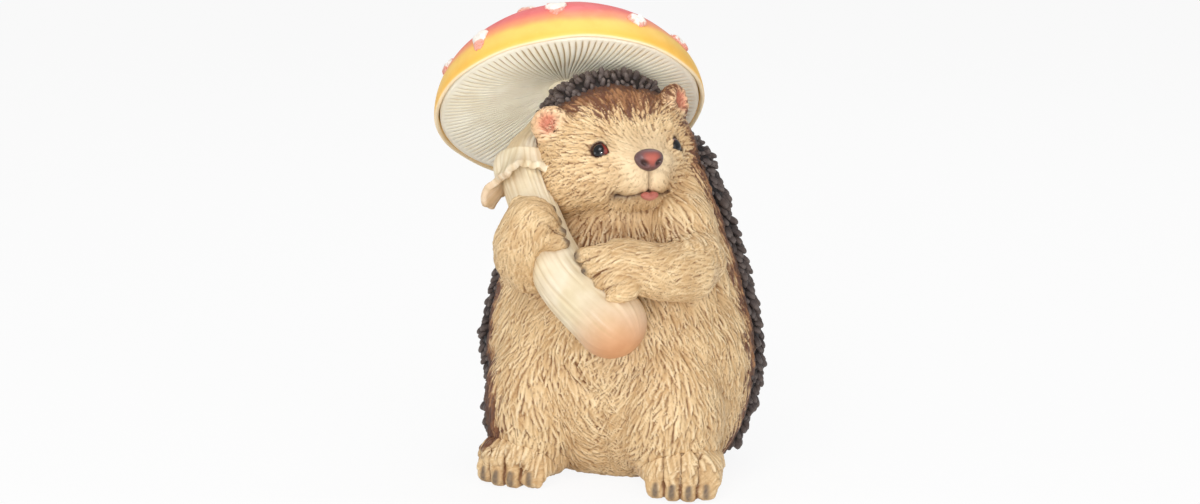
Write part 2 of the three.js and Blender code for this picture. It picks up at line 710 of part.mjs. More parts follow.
const leftPaw = besideStem(LEFT_PAW_SHARE, ...LEFT_PAW_OFF);
const leftElbow = new THREE.Vector3(
  LEFT_ELBOW_OUT,
  leftPaw.y + LEFT_ELBOW_BACK,
  CHEST_HEIGHT + LEFT_ELBOW_RISE,
);
const leftWrist = leftElbow.clone().lerp(leftPaw, 0.5).add(LEFT_WRIST_BOW);
const leftArmPath = [shoulder(1, SHOULDER_HEIGHT), leftElbow, leftWrist, leftPaw];

const rightPaw = besideStem(RIGHT_PAW_SHARE, 1, -armReach, 2);
const rightElbow = new THREE.Vector3(
  -RIGHT_ELBOW_OUT,
  rightPaw.y + RIGHT_ELBOW_BACK,
  CHEST_HEIGHT + RIGHT_ELBOW_RISE,
);
const rightWrist = rightElbow.clone().lerp(rightPaw, 0.5).add(RIGHT_WRIST_BOW);
const rightArmPath = [shoulder(-1, SHOULDER_HEIGHT - SHOULDER_DROP), rightElbow, rightWrist, rightPaw];

const armRadii = [ARM_RADIUS - 3, ARM_RADIUS, WRIST_RADIUS, PAW_RADIUS];

// Fingers: side by side from the knuckles to tips, spread evenly between the two end fingers
function fingers(knuckles, tips, grow = 0) {
  return Array.from({ length: FINGER_COUNT }, (_, i) => {
    const share = i / (FINGER_COUNT - 1);
    const from = knuckles[0].clone().lerp(knuckles[1], share);
    const to = tips[0].clone().lerp(tips[1], share);
    const bend = from.clone().lerp(to, 0.55).add(new THREE.Vector3(0, -FINGER_RADIUS * 0.5, 0));
    return limb([from, bend, to], [FINGER_RADIUS * 1.1, FINGER_RADIUS, FINGER_RADIUS * 0.8], {
      steps: 3,
      sides: 6,
      grow,
    });
  });
}

const [leftFirst, leftLast] = LEFT_GRIP;
const leftFingers = fingers(
  [
    besideStem(leftFirst, 18 + LEFT_REACH, 2 - armReach, 5),
    besideStem(leftLast, 17 + LEFT_REACH, 2 - armReach, 7),
  ],
  [besideStem(leftFirst, 18, 4 - armReach, -1), besideStem(leftLast, 17, 5 - armReach, 5)],
);
const leftArmForm = joined(limb(leftArmPath, armRadii), ...leftFingers);

const [rightFirst, rightLast] = RIGHT_GRIP;
const rightArmForm = (grow) =>
  joined(
    limb(rightArmPath, armRadii, { grow }),
    ...fingers(
      [besideStem(rightFirst, 1, -armReach - 3, 2), besideStem(rightLast, 0, -armReach - 3, 2)],
      [
        besideStem(rightFirst, 1 + RIGHT_REACH, 5 - armReach, -3),
        besideStem(rightLast, RIGHT_REACH, 5 - armReach, -2),
      ],
      grow,
    ),
  );

// Feet: a wedge of a foot with rounded toes, flat underneath
function footForm(x, side) {
  const ankle = FOOT_LENGTH - FOOT_HALF_WIDTH;
  const sole = limb(
    [
      new THREE.Vector3(0, FOOT_LENGTH, FOOT_HEIGHT * 0.45),
      new THREE.Vector3(0, ankle * 0.75, FOOT_HEIGHT * 0.4),
      new THREE.Vector3(0, TOE_RADIUS * 1.8, FOOT_HEIGHT * 0.22),
    ],
    [FOOT_HEIGHT * 0.5, FOOT_HEIGHT * 0.56, FOOT_HEIGHT * 0.34],
    { steps: 4, sides: 10, flatten: FOOT_HALF_WIDTH / (FOOT_HEIGHT * 0.56) },
  );
  const toes = Array.from({ length: TOE_COUNT }, (_, i) => {
    const share = (2 * i) / (TOE_COUNT - 1) - 1;
    const x = share * (FOOT_HALF_WIDTH - TOE_RADIUS);
    const front = TOE_RADIUS + 4 * share * share;
    return limb(
      [
        new THREE.Vector3(x * 0.8, front + FOOT_LENGTH * 0.35, FOOT_HEIGHT * 0.55),
        new THREE.Vector3(x, front + FOOT_LENGTH * 0.1, FOOT_HEIGHT * 0.36),
        new THREE.Vector3(x, front, TOE_RADIUS * 0.7),
      ],
      [TOE_RADIUS, TOE_RADIUS, TOE_RADIUS * 0.9],
      { steps: 2, sides: 6 },
    );
  });
  const placed = new THREE.Matrix4()
    .makeRotationZ(rad(side * FOOT_SPREAD))
    .setPosition(x, -RUMP_FRONT - FOOT_REACH, 0);
  return cut(joined(...[sole, ...toes].map((form) => form.applyMatrix4(placed))), ground);
}

// Dowels: each is half in one casting and half in the next
function dowelHole(frame, radius, length) {
  const hole = bar(radius + DOWEL_GAP, length + 2 * SEAT_GAP).translate(0, 0, -SEAT_GAP);
  return solid(hole.applyMatrix4(frame));
}
const capDowelFrame = capFrame.clone().multiply(
  new THREE.Matrix4().makeTranslation(0, 0, gillTop - CAP_DOWEL_IN_STEM),
);
const neckDowelFrame = new THREE.Matrix4().makeTranslation(
  HEAD_AT.x,
  HEAD_AT.y,
  HEAD_AT.z - SKULL_HEIGHT - NECK_DOWEL_LENGTH / 2,
);
const armDowelFrame = (path, cover = 0) => {
  const along = path[1].clone().sub(path[0]);
  const inset = SHOULDER_SINK + cover - ARM_DOWEL_LENGTH / 2;
  return frameAlong(path[0].clone().addScaledVector(along.clone().normalize(), inset), along);
};
const leftDowelFrame = armDowelFrame(leftArmPath, SHOULDER_COVER);
const rightDowelFrame = armDowelFrame(rightArmPath);

// Pieces that others are cut by
const stemWhole = cut(stemForm(0), solid(aboveStem));
const stemRoom = stemForm(SEAT_GAP);
const torsoRoom = torsoOutline(SEAT_GAP);
const headRoom = headOutline(SEAT_GAP);
const neckHole = dowelHole(neckDowelFrame, NECK_DOWEL_RADIUS, NECK_DOWEL_LENGTH);
const capHole = dowelHole(capDowelFrame, CAP_DOWEL_RADIUS, CAP_DOWEL_LENGTH);
const leftHole = dowelHole(leftDowelFrame, ARM_DOWEL_RADIUS, ARM_DOWEL_LENGTH);
const rightHole = dowelHole(rightDowelFrame, ARM_DOWEL_RADIUS, ARM_DOWEL_LENGTH);

const hollowTop = HEAD_AT.z - SKULL_HEIGHT - NECK_DOWEL_LENGTH / 2 - TORSO_WALL;
const hollow = solid(torsoForm(TORSO_WALL, hollowTop, -TORSO_WALL, 6, 14));
const plugBore = bar(PLUG_RADIUS + SEAT_GAP, TORSO_WALL * 2, 24).translate(0, PLUG_AT_Y, -TORSO_WALL / 2);
const plugHole = solid(plugBore);
const torso = cut(torsoOutline(0), headRoom, stemRoom, hollow, plugHole, neckHole, leftHole, rightHole);

const earSeat = joined(earForm(1, SEAT_GAP), earForm(-1, SEAT_GAP));
const eyeBead = (radius) => new THREE.SphereGeometry(radius, 10, 7);
const eyeSocket = (side) =>
  solid(eyeBead(EYE_RADIUS + SEAT_GAP).translate(...eyePlace(side)).applyMatrix4(headFrame));
const head = cut(
  headOutline(0),
  neckHole,
  stemRoom,
  eyeSocket(1),
  eyeSocket(-1),
  solid(mouthGroove.clone().applyMatrix4(headFrame)),
);
const ear = (side) => cut(solid(earForm(side)), solid(earHollow(side)), headRoom);

const capeShell = quillShell(capeSurface, CAPE_COLUMNS, CAPE_ROWS, QUILL_HEIGHT);
const cape = cut(solid(capeShell), headRoom, stemRoom, ground);
const hoodShell = quillShell(hoodSurface, HOOD_COLUMNS, HOOD_ROWS, HOOD_QUILL_HEIGHT);
const capeRoom = solid(torsoForm(0, CAPE_TOP + QUILL_SHELL, QUILL_SHELL + QUILL_HEIGHT + QUILL_SEAT));
const hood = cut(solid(hoodShell.applyMatrix4(headFrame)), capeRoom, stemRoom, earSeat);

const armLeft = cut(leftArmForm, torsoRoom, stemRoom, headRoom, leftHole);
const armRight = cut(rightArmForm(0), torsoRoom, stemRoom, headRoom, rightHole);
const footLeft = cut(footForm(FOOT_LEFT_X, 1), torsoRoom);
const footRight = cut(footForm(FOOT_RIGHT_X, -1), torsoRoom);

// Assembly
const figure = new THREE.Group();

function add(name, geometry, material, parent = figure) {
  const mesh = new THREE.Mesh(geometry, material);
  mesh.name = name;
  parent.add(mesh);
  return mesh;
}

function framed(matrix) {
  const group = new THREE.Group();
  group.applyMatrix4(matrix);
  figure.add(group);
  return group;
}

add("torso", geometryOf(torso), furPaint);
add("quill_cape", geometryOf(cape), quillPaint);
add("head", geometryOf(head), furPaint);
add("quill_hood", geometryOf(hood), quillPaint);
add("arm_left", geometryOf(armLeft), furPaint);
add("arm_right", geometryOf(armRight), furPaint);
add("foot_left", geometryOf(footLeft), furPaint);
add("foot_right", geometryOf(footRight), furPaint);
add("ear_left", geometryOf(ear(1)), earPaint);
add("ear_right", geometryOf(ear(-1)), earPaint);

const headGroup = framed(headFrame);
add("eye_left", eyeBead(EYE_RADIUS), eyeGloss, headGroup).position.copy(eyePlace(1));
add("eye_right", eyeBead(EYE_RADIUS), eyeGloss, headGroup).position.copy(eyePlace(-1));

const noseForm = ellipsoid(NOSE_SIZE, 12, 8).translate(0, -LIP_FORWARD - 1, NOSE_HEIGHT);
add("nose", geometryOf(cut(solid(noseForm.applyMatrix4(headFrame)), headRoom)), nosePaint);
const tongueForm = ellipsoid(TONGUE_SIZE, 8, 6).translate(0, -LIP_FORWARD - 1.5, -MOUTH_DROP);
add("tongue", geometryOf(cut(solid(tongueForm.applyMatrix4(headFrame)), headRoom)), lipPaint);

add("stem", geometryOf(cut(stemWhole, capHole)), stemPaint);
const capGroup = framed(capFrame);
add("cap", capForm(), capPaint, capGroup);
add("gill_disc", gillForm(), gillPaint, capGroup);
warts().forEach((form, i) => add(`wart_${i + 1}`, form, wartPaint, capGroup));

const ringLine = stemCurve.getTangent(RING_PLACE).lerp(new THREE.Vector3(0, 0, 1), RING_UPRIGHT);
const ringFrame = frameAlong(stemCurve.getPoint(RING_PLACE), ringLine);
const ring = cut(
  solid(ringForm().applyMatrix4(ringFrame)),
  stemRoom,
  headRoom,
  earSeat,
  torsoRoom,
  rightArmForm(SEAT_GAP),
);
add("stem_ring", geometryOf(ring), stemPaint);

add("cap_dowel", bar(CAP_DOWEL_RADIUS, CAP_DOWEL_LENGTH), steel, framed(capDowelFrame));
add("neck_dowel", bar(NECK_DOWEL_RADIUS, NECK_DOWEL_LENGTH), steel, framed(neckDowelFrame));
add("shoulder_dowel_left", bar(ARM_DOWEL_RADIUS, ARM_DOWEL_LENGTH), steel, framed(leftDowelFrame));
add("shoulder_dowel_right", bar(ARM_DOWEL_RADIUS, ARM_DOWEL_LENGTH), steel, framed(rightDowelFrame));

const plugProfile = [
  [0, PLUG_RECESS],
  [PLUG_RADIUS, PLUG_RECESS],
  [PLUG_RADIUS, TORSO_WALL],
  [PLUG_RADIUS + PLUG_LIP, TORSO_WALL + SEAT_GAP],
  [PLUG_RADIUS - PLUG_LIP, TORSO_WALL + 2 * PLUG_LIP],
  [0, TORSO_WALL + 2 * PLUG_LIP],
].map(([radius, height]) => new THREE.Vector2(radius, height));
const plug = add("base_plug", revolved(plugProfile, 24), rubber);
plug.position.y = PLUG_AT_Y;

const bounds = new THREE.Box3().setFromObject(figure, true);
figure.position.set(-(bounds.min.x + bounds.max.x) / 2, -(bounds.min.y + bounds.max.y) / 2, -bounds.min.z);

export default figure;
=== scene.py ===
# %% [markdown]
# # A hedgehog that shelters under a toadstool
# The real object is a garden ornament of cast and painted resin. Its solids come from the imported CAD
# frame, and this lesson gives them their sculpted fur, quills, gills and paint. The frame is loaded
# first and never moved, and the finished model's box is printed at the end.

# %% Load the fixed frame
import math

import bmesh
import bpy
import numpy as np
from mathutils import Matrix, Vector
from mathutils.bvhtree import BVHTree
from mathutils.kdtree import KDTree


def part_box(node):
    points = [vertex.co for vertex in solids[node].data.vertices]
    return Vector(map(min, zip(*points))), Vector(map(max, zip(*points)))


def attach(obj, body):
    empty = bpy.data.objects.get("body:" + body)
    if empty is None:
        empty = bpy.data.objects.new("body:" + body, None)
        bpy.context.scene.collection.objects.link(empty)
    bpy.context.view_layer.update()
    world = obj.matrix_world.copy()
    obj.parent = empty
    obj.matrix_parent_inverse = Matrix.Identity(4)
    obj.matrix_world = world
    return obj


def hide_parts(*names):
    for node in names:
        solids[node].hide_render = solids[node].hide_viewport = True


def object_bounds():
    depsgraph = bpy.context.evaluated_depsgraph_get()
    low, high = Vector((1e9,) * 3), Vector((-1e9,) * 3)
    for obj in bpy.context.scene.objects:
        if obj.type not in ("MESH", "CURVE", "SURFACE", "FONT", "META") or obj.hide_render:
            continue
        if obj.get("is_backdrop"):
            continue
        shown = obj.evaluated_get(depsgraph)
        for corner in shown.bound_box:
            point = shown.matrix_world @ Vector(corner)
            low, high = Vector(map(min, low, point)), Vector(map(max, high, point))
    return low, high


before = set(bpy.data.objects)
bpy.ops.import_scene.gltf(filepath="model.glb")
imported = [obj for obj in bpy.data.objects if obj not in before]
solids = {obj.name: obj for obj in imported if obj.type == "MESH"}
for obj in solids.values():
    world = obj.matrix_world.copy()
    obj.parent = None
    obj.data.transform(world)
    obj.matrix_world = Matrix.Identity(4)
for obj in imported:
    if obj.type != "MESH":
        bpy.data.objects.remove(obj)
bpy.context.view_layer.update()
MM = 0.001
rng = np.random.default_rng(11)

# %% [markdown]
# ## Where the figure stands
# The CAD source works in millimetres in a frame of its own, which the pack then centres. The neck dowel's
# place is known in both, so it gives the shift between them. The head and the cap are turned, so each
# gets a matrix: a part of the face is then placed by how far it is left, in front and above the skull.

# %% Frames of the figure, the head and the cap
HEAD_AT = Vector((-3, -5, 158))
HEAD_YAW, HEAD_PITCH = 38.5, 4
CAP_TILT, CAP_TURN = 40, 23
CAP_FROM_HEAD = Vector((-16, 21.5, 39))


def turned(angle, axis):
    return Matrix.Rotation(math.radians(angle), 4, axis)


dowel_low, dowel_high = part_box("neck_dowel")
dowel_middle = (dowel_low + dowel_high) / 2 / MM
shift = Vector((dowel_middle.x - HEAD_AT.x, dowel_middle.y - HEAD_AT.y, 0))
figure_frame = Matrix.Scale(MM, 4) @ Matrix.Translation(shift)
head_turn = turned(HEAD_YAW, "Z") @ turned(-HEAD_PITCH, "X")
head_rotation = np.array(head_turn.to_3x3())
head_frame = Matrix.Translation(HEAD_AT) @ head_turn
cap_turn = turned(CAP_TURN, "Z") @ turned(-CAP_TILT, "X")
cap_frame = Matrix.Translation(HEAD_AT + cap_turn @ CAP_FROM_HEAD) @ cap_turn


def figure_mm(points):
    """Row-frame points in metres, as figure-frame millimetres."""
    return np.asarray(points, float) / MM - np.array(shift)


def row_metres(points):
    """Figure-frame points, as row-frame metres."""
    return (points + np.array(shift)) * MM


def into_frame(points, matrix):
    """Figure-frame points, in the frame that the matrix places."""
    into = matrix.inverted()
    return points @ np.array(into.to_3x3()).T + np.array(into.translation)


def head_mm(points):
    """Figure-frame points, in the head's own frame."""
    return (points - np.array(HEAD_AT)) @ head_rotation


print("figure shift in mm:", [round(v, 2) for v in shift])

# %% [markdown]
# ## Studio
# The photograph is a cut-out on white, lit softly from the front. A pale floor and a white world give that
# ground, and six soft boxes model the forms without hard shadows. A narrow snoot lights the gills, which the
# cap would shade. The camera stands where the photograph was taken: a little to the animal's left and
# slightly above it.

# %% Camera, floor and light
CAMERA_AZIMUTH, CAMERA_ELEVATION, CAMERA_DISTANCE = 15, 12, 1100
CAMERA_TARGET = Vector((-10, -3, 107.6))
LENS, SENSOR = 66, 36
SOFTBOXES = [
    ("key_softbox", -12, 48, 1.3, 0.55, 4.3),
    ("front_softbox", 5, 10, 1.6, 0.6, 6.2),
    ("fill_softbox", 55, 25, 1.4, 0.9, 3.0),
    ("low_softbox", -62, -2, 1.3, 0.5, 1.6),
    ("table_card", 25, -11, 0.42, 0.3, 0.32),
    ("back_softbox", 180, 55, 1.4, 0.9, 4.0),
]  # azimuth, elevation, distance and size in metres, watts
SNOOT_WATTS, SNOOT_ANGLE, SNOOT_DISTANCE, SNOOT_SOFT = 50.0, 4.4, 1.2, 0.06
SNOOT_TARGET = Vector((0, -54, 0))
WORLD_STRENGTH = 0.5
scene = bpy.context.scene
scene.view_settings.view_transform = "Standard"


def direction(azimuth, elevation):
    a, e = math.radians(azimuth), math.radians(elevation)
    return Vector((math.sin(a) * math.cos(e), -math.cos(a) * math.cos(e), math.sin(e)))


def placed_at(obj, place, target):
    obj.location = place
    obj.rotation_euler = (target - place).to_track_quat("-Z", "Y").to_euler()
    scene.collection.objects.link(obj)


look_at = figure_frame @ CAMERA_TARGET
camera = bpy.data.objects.new("photo_camera", bpy.data.cameras.new("photo_camera"))
camera.data.lens = LENS
camera.data.sensor_width = SENSOR
camera.data.clip_start = 0.01
placed_at(camera, look_at + direction(CAMERA_AZIMUTH, CAMERA_ELEVATION) * CAMERA_DISTANCE * MM, look_at)
scene.camera = camera

for name, azimuth, elevation, distance, size, watts in SOFTBOXES:
    lamp = bpy.data.lights.new(name, "AREA")
    lamp.size = size
    lamp.energy = watts
    box = bpy.data.objects.new(name, lamp)
    box.visible_camera = False
    placed_at(box, look_at + direction(azimuth, elevation) * distance, look_at)

snoot = bpy.data.lights.new("gill_snoot", "SPOT")
snoot.energy = SNOOT_WATTS
snoot.spot_size = math.radians(SNOOT_ANGLE)
snoot.spot_blend = 1.0
snoot.shadow_soft_size = SNOOT_SOFT
gill_spot = figure_frame @ cap_frame @ SNOOT_TARGET
snoot_place = gill_spot + direction(13, 11) * SNOOT_DISTANCE
placed_at(bpy.data.objects.new("gill_snoot", snoot), snoot_place, gill_spot)

world = bpy.data.worlds.new("studio")
world.use_nodes = True
backdrop = world.node_tree.nodes["Background"]
backdrop.inputs["Color"].default_value = (1, 1, 1, 1)
backdrop.inputs["Strength"].default_value = WORLD_STRENGTH
scene.world = world

# %% [markdown]
# ## Paint helpers
# Colours are written as a painter would read them off a swatch, from 0 to 255, and turned into the linear
# values that shaders use. Every material is built from a few nodes, so short helpers add and link them.

# %% Colour and node helpers


def swatch(red, green, blue):
    def linear(v):
        v /= 255
        return v / 12.92 if v <= 0.04045 else ((v + 0.055) / 1.055) ** 2.4

    return (linear(red), linear(green), linear(blue), 1.0)


def node(tree, kind, **settings):
    made = tree.nodes.new(kind)
    for name, value in settings.items():
        setattr(made, name, value)
    return made


def feed(tree, target, source):
    """Sets a socket to a plain value, or links it to another socket."""
    if isinstance(source, bpy.types.NodeSocket):
        tree.links.new(source, target)
    else:
        target.default_value = source


def blended(tree, share, first, second):
    """A colour that goes from first to second with the share."""
    mix = node(tree, "ShaderNodeMix", data_type="RGBA")
    feed(tree, mix.inputs["Factor"], share)
    feed(tree, mix.inputs["A"], first)
    feed(tree, mix.inputs["B"], second)
    return mix.outputs["Result"]


def ranged(tree, value, low, high, out_low=0.0, out_high=1.0):
    made = node(tree, "ShaderNodeMapRange", interpolation_type="SMOOTHSTEP")
    feed(tree, made.inputs["Value"], value)
    for name, number in zip(("From Min", "From Max", "To Min", "To Max"), (low, high, out_low, out_high)):
        made.inputs[name].default_value = number
    return made.outputs["Result"]


def sums(tree, operation, first, second):
    made = node(tree, "ShaderNodeMath", operation=operation)
    feed(tree, made.inputs[0], first)
    feed(tree, made.inputs[1], second)
    return made.outputs["Value"]


def material_of(name):
    """A new material, its node tree and its shader."""
    material = bpy.data.materials.new(name)
    material.use_nodes = True
    return material, material.node_tree, material.node_tree.nodes["Principled BSDF"]


def painted(tree, name):
    return node(tree, "ShaderNodeAttribute", attribute_name=name).outputs["Fac"]


def cloud(tree, scale, detail=3.0, stretch=None):
    """Noise over the piece's own Object coordinates, which are in metres."""
    place = node(tree, "ShaderNodeTexCoord").outputs["Object"]
    if stretch:
        mapping = node(tree, "ShaderNodeMapping")
        mapping.inputs["Scale"].default_value = stretch
        feed(tree, mapping.inputs["Vector"], place)
        place = mapping.outputs["Vector"]
    made = node(tree, "ShaderNodeTexNoise")
    made.inputs["Scale"].default_value = scale
    made.inputs["Detail"].default_value = detail
    feed(tree, made.inputs["Vector"], place)
    return made.outputs["Fac"]


# %% [markdown]
# ## The cast resin's surface
# Every casting has the same fine tooth from the mould and the same slightly blotchy hand paint. That is one
# node
# group: it takes a colour, a dark colour for the recesses and a light one for the crests, each with its mask,
# and it puts out the mixed colour, a roughness and a height for the bump. Where a material's masks follow the
# sculpted relief, the dark is partly a wash and partly painted shade, and the light is partly dry-brush and
# partly a painted highlight.

# %% Node group: hand-painted resin
RESIN_INPUTS = {
    "Color": "Color", "Wash_and_shade": "Color", "Recess": "Float",
    "Highlight": "Color", "Crest": "Float", "Blotch": "Float",
}
RESIN_OUTPUTS = {"Color": "Color", "Roughness": "Float", "Height": "Float"}
resin_paint = bpy.data.node_groups.new("resin_paint", "ShaderNodeTree")
for way, sockets in (("INPUT", RESIN_INPUTS), ("OUTPUT", RESIN_OUTPUTS)):
    for socket, kind in sockets.items():
        resin_paint.interface.new_socket(socket, in_out=way, socket_type="NodeSocket" + kind)
entry = node(resin_paint, "NodeGroupInput")
leave = node(resin_paint, "NodeGroupOutput")
blotches = ranged(resin_paint, cloud(resin_paint, 90), 0.35, 0.7)
speckle = cloud(resin_paint, 1500, 2.0)
darkened = node(resin_paint, "ShaderNodeMix", data_type="RGBA", blend_type="MULTIPLY")
feed(resin_paint, darkened.inputs["Factor"], sums(resin_paint, "MULTIPLY", blotches, entry.outputs["Blotch"]))
feed(resin_paint, darkened.inputs["A"], entry.outputs["Color"])
darkened.inputs["B"].default_value = swatch(214, 196, 176)
# Dark colour where the recess mask says: a wash, and painted shade where the mask follows the relief.
washed_and_shaded = blended(resin_paint, entry.outputs["Recess"], darkened.outputs["Result"], entry.outputs["Wash_and_shade"])
# Light colour on the crests, in patches: dry-brush, and a painted highlight where the mask follows the relief.
patchy = ranged(resin_paint, speckle, 0.3, 0.55, 0.4, 1.0)
brush_and_highlight_share = sums(resin_paint, "MULTIPLY", entry.outputs["Crest"], patchy)
brushed_and_highlighted = blended(resin_paint, brush_and_highlight_share, washed_and_shaded, entry.outputs["Highlight"])
feed(resin_paint, leave.inputs["Color"], brushed_and_highlighted)
feed(resin_paint, leave.inputs["Roughness"], ranged(resin_paint, blotches, 0.0, 1.0, 0.52, 0.7))
feed(resin_paint, leave.inputs["Height"], speckle)
print("resin_paint group:", len(resin_paint.nodes), "nodes")


def resin(name, color, wash, recess, highlight, crest, blotch=0.5, tooth=0.06):
    """A painted resin material. The colour and the masks come from a function that adds nodes to the tree."""
    material, tree, shader = material_of(name)
    coat = node(tree, "ShaderNodeGroup", node_tree=resin_paint)
    for socket, value in zip(RESIN_INPUTS, (color, wash, recess, highlight, crest, blotch)):
        feed(tree, coat.inputs[socket], value(tree) if callable(value) else value)
    feed(tree, shader.inputs["Base Color"], coat.outputs["Color"])
    feed(tree, shader.inputs["Roughness"], coat.outputs["Roughness"])
    shader.inputs["Specular IOR Level"].default_value = 0.35
    bump = node(tree, "ShaderNodeBump")
    bump.inputs["Strength"].default_value = tooth
    bump.inputs["Distance"].default_value = 0.0004
    feed(tree, bump.inputs["Height"], coat.outputs["Height"])
    feed(tree, shader.inputs["Normal"], bump.outputs["Normal"])
    return material


# %% [markdown]
# ## Mesh helpers
# Shapes are built with bmesh operators and then kept as meshes. Values for each point, such as how deep a
# furrow is, are stored on the mesh under a name, and the materials read them there.

# %% Mesh helpers


def as_mesh(bm, name):
    """The finished bmesh as a mesh. The bmesh goes."""
    mesh = bpy.data.meshes.new(name)
    bm.to_mesh(mesh)
    bm.free()
    return mesh


def held(mesh, name):
    obj = bpy.data.objects.new(name, mesh)
    scene.collection.objects.link(obj)
    return obj


def closed(bm):
    bmesh.ops.holes_fill(bm, edges=[e for e in bm.edges if e.is_boundary], sides=0)


def triangles(mesh):
    return sum(len(p.vertices) - 2 for p in mesh.polygons)


def coordinates(mesh):
    flat = np.empty(len(mesh.vertices) * 3)
    mesh.vertices.foreach_get("co", flat)
    return flat.reshape(-1, 3)


def point_mask(mesh, name, values):
    mesh.attributes.new(name, "FLOAT", "POINT").data.foreach_set("value", np.asarray(values, np.float32))


# %% [markdown]
# ## Floor
# The floor is pale, and for the camera it is mostly a plain white, so the figure keeps a soft shadow on a
# ground as white as the photograph's.

# %% Floor
FLOOR_HALF, FLOOR_GREY, FLOOR_GLOW = 12, 0.86, 0.9
bm = bmesh.new()
bmesh.ops.create_grid(bm, x_segments=1, y_segments=1, size=FLOOR_HALF)
floor = held(as_mesh(bm, "studio_floor"), "studio_floor")
floor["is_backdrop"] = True
floor_white, floor_tree, floor_shader = material_of("floor_white")
floor_shader.inputs["Base Color"].default_value = (FLOOR_GREY, FLOOR_GREY, FLOOR_GREY, 1)
floor_shader.inputs["Roughness"].default_value = 0.9
glow = node(floor_tree, "ShaderNodeEmission")
rays = node(floor_tree, "ShaderNodeLightPath")
seen = sums(floor_tree, "MAXIMUM", rays.outputs["Is Camera Ray"], rays.outputs["Is Glossy Ray"])
floor_mix = node(floor_tree, "ShaderNodeMixShader")
feed(floor_tree, floor_mix.inputs["Fac"], sums(floor_tree, "MULTIPLY", seen, FLOOR_GLOW))
feed(floor_tree, floor_mix.inputs[1], floor_shader.outputs["BSDF"])
feed(floor_tree, floor_mix.inputs[2], glow.outputs["Emission"])
feed(floor_tree, floor_tree.nodes["Material Output"].inputs["Surface"], floor_mix.outputs["Shader"])
floor.data.materials.append(floor_white)

# %% [markdown]
# ## One skin over the furred castings
# On the real figure the head, arms, feet and body were modelled in one lump of clay before the master was
# cut, so their fur runs on from piece to piece. The quickest way there is the sculptor's: copy the solids,
# merge them with a voxel remesh and smooth away the facets. A stopper over the plug keeps the hollow shut, so
# the remesh makes one outer skin. Only the skin that shows is subdivided for the fur. It is cut back into its
# castings at the end.

# %% Merge and smooth the furred castings
FURRED = ["torso", "head", "arm_left", "arm_right", "foot_left", "foot_right", "ear_left", "ear_right"]
FILLERS = ["base_plug", "eye_left", "eye_right", "neck_dowel", "shoulder_dowel_left", "shoulder_dowel_right"]
TORSO, HEAD, ARM_LEFT, ARM_RIGHT, FOOT_LEFT, FOOT_RIGHT, EAR_LEFT, EAR_RIGHT = range(len(FURRED))
VOXEL = 1.25
STOPPER_REACH, STOPPER_SHARE = 1.5, 0.7  # past the plug's edge in mm, and of its height
SMOOTHS, BROAD_SMOOTHS, LAST_SMOOTHS = 7, 24, 2
QUILL_CLEARANCE, BASE_HEIGHT, BASE_TILT = 2.4, 5, -0.6


def applied(obj):
    """The object's mesh with its modifiers applied. The object itself goes."""
    shown = obj.evaluated_get(bpy.context.evaluated_depsgraph_get())
    mesh = bpy.data.meshes.new_from_object(shown)
    bpy.data.objects.remove(obj)
    return mesh


def voxel_copy(names, voxel):
    """A merged copy of CAD solids, remeshed as one closed skin. A stopper shuts the gap round the plug."""
    bm = bmesh.new()
    for name in names:
        bm.from_mesh(solids[name].data)
    plug_low, plug_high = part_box("base_plug")
    over_plug = (plug_high.x - plug_low.x) / 2 + STOPPER_REACH * MM
    stopper_height = STOPPER_SHARE * (plug_high.z - plug_low.z)
    bmesh.ops.create_cone(
        bm, cap_ends=True, segments=48, radius1=over_plug, radius2=over_plug, depth=stopper_height,
        matrix=Matrix.Translation((plug_low + plug_high) / 2),
    )
    bmesh.ops.remove_doubles(bm, verts=bm.verts, dist=1e-6)
    obj = held(as_mesh(bm, "copy"), "copy")
    remesh = obj.modifiers.new("voxels", "REMESH")
    remesh.mode = "VOXEL"
    remesh.voxel_size = voxel * MM
    return applied(obj)


def solid_tree(names):
    """A search tree over CAD solids, and which solid each of its faces belongs to."""
    points, faces, owner = [], [], []
    for k, name in enumerate(names):
        mesh = solids[name].data
        start = len(points)
        points += [v.co.copy() for v in mesh.vertices]
        faces += [[start + i for i in p.vertices] for p in mesh.polygons]
        owner += [k] * len(mesh.polygons)
    return BVHTree.FromPolygons(points, faces), np.array(owner)


def smoothed(bm, verts, times):
    for _ in range(times):
        bmesh.ops.smooth_vert(bm, verts=verts, factor=0.5, use_axis_x=True, use_axis_y=True, use_axis_z=True)


coat_tree, coat_owner = solid_tree(FURRED)
quill_tree, _ = solid_tree(["quill_cape", "quill_hood"])
stem_tree, _ = solid_tree(["stem"])
bm = bmesh.new()
bm.from_mesh(voxel_copy(FURRED + FILLERS, VOXEL))
broad = [v for v in bm.verts if coat_owner[coat_tree.find_nearest(v.co)[2]] in (TORSO, HEAD)]
smoothed(bm, bm.verts[:], SMOOTHS)
smoothed(bm, broad, BROAD_SMOOTHS)
bm.normal_update()
from_skull = head_mm(figure_mm([v.co for v in bm.verts]))
behind = (from_skull[:, 1] > 10) & (from_skull[:, 2] > -22)
clear = {
    v
    for v, under_quills in zip(bm.verts, behind)
    if not under_quills
    and quill_tree.find_nearest(v.co)[3] > QUILL_CLEARANCE * MM
    and (v.normal.z > BASE_TILT or v.co.z > BASE_HEIGHT * MM)
}
shown_edges = [e for e in bm.edges if e.verts[0] in clear and e.verts[1] in clear]
bmesh.ops.subdivide_edges(bm, edges=shown_edges, cuts=1, use_grid_fill=True)
smoothed(bm, bm.verts[:], LAST_SMOOTHS)
coat_mesh = as_mesh(bm, "coat")
print("coat:", len(coat_mesh.vertices), "points,", len(coat_mesh.polygons), "faces")

# %% [markdown]
# ## Reading the skin as arrays
# Sculpting in code needs every point's place, normal and neighbours. Arrays hold them, in figure-frame
# millimetres, and averaging over neighbours blurs any value over the skin as a smooth brush does.

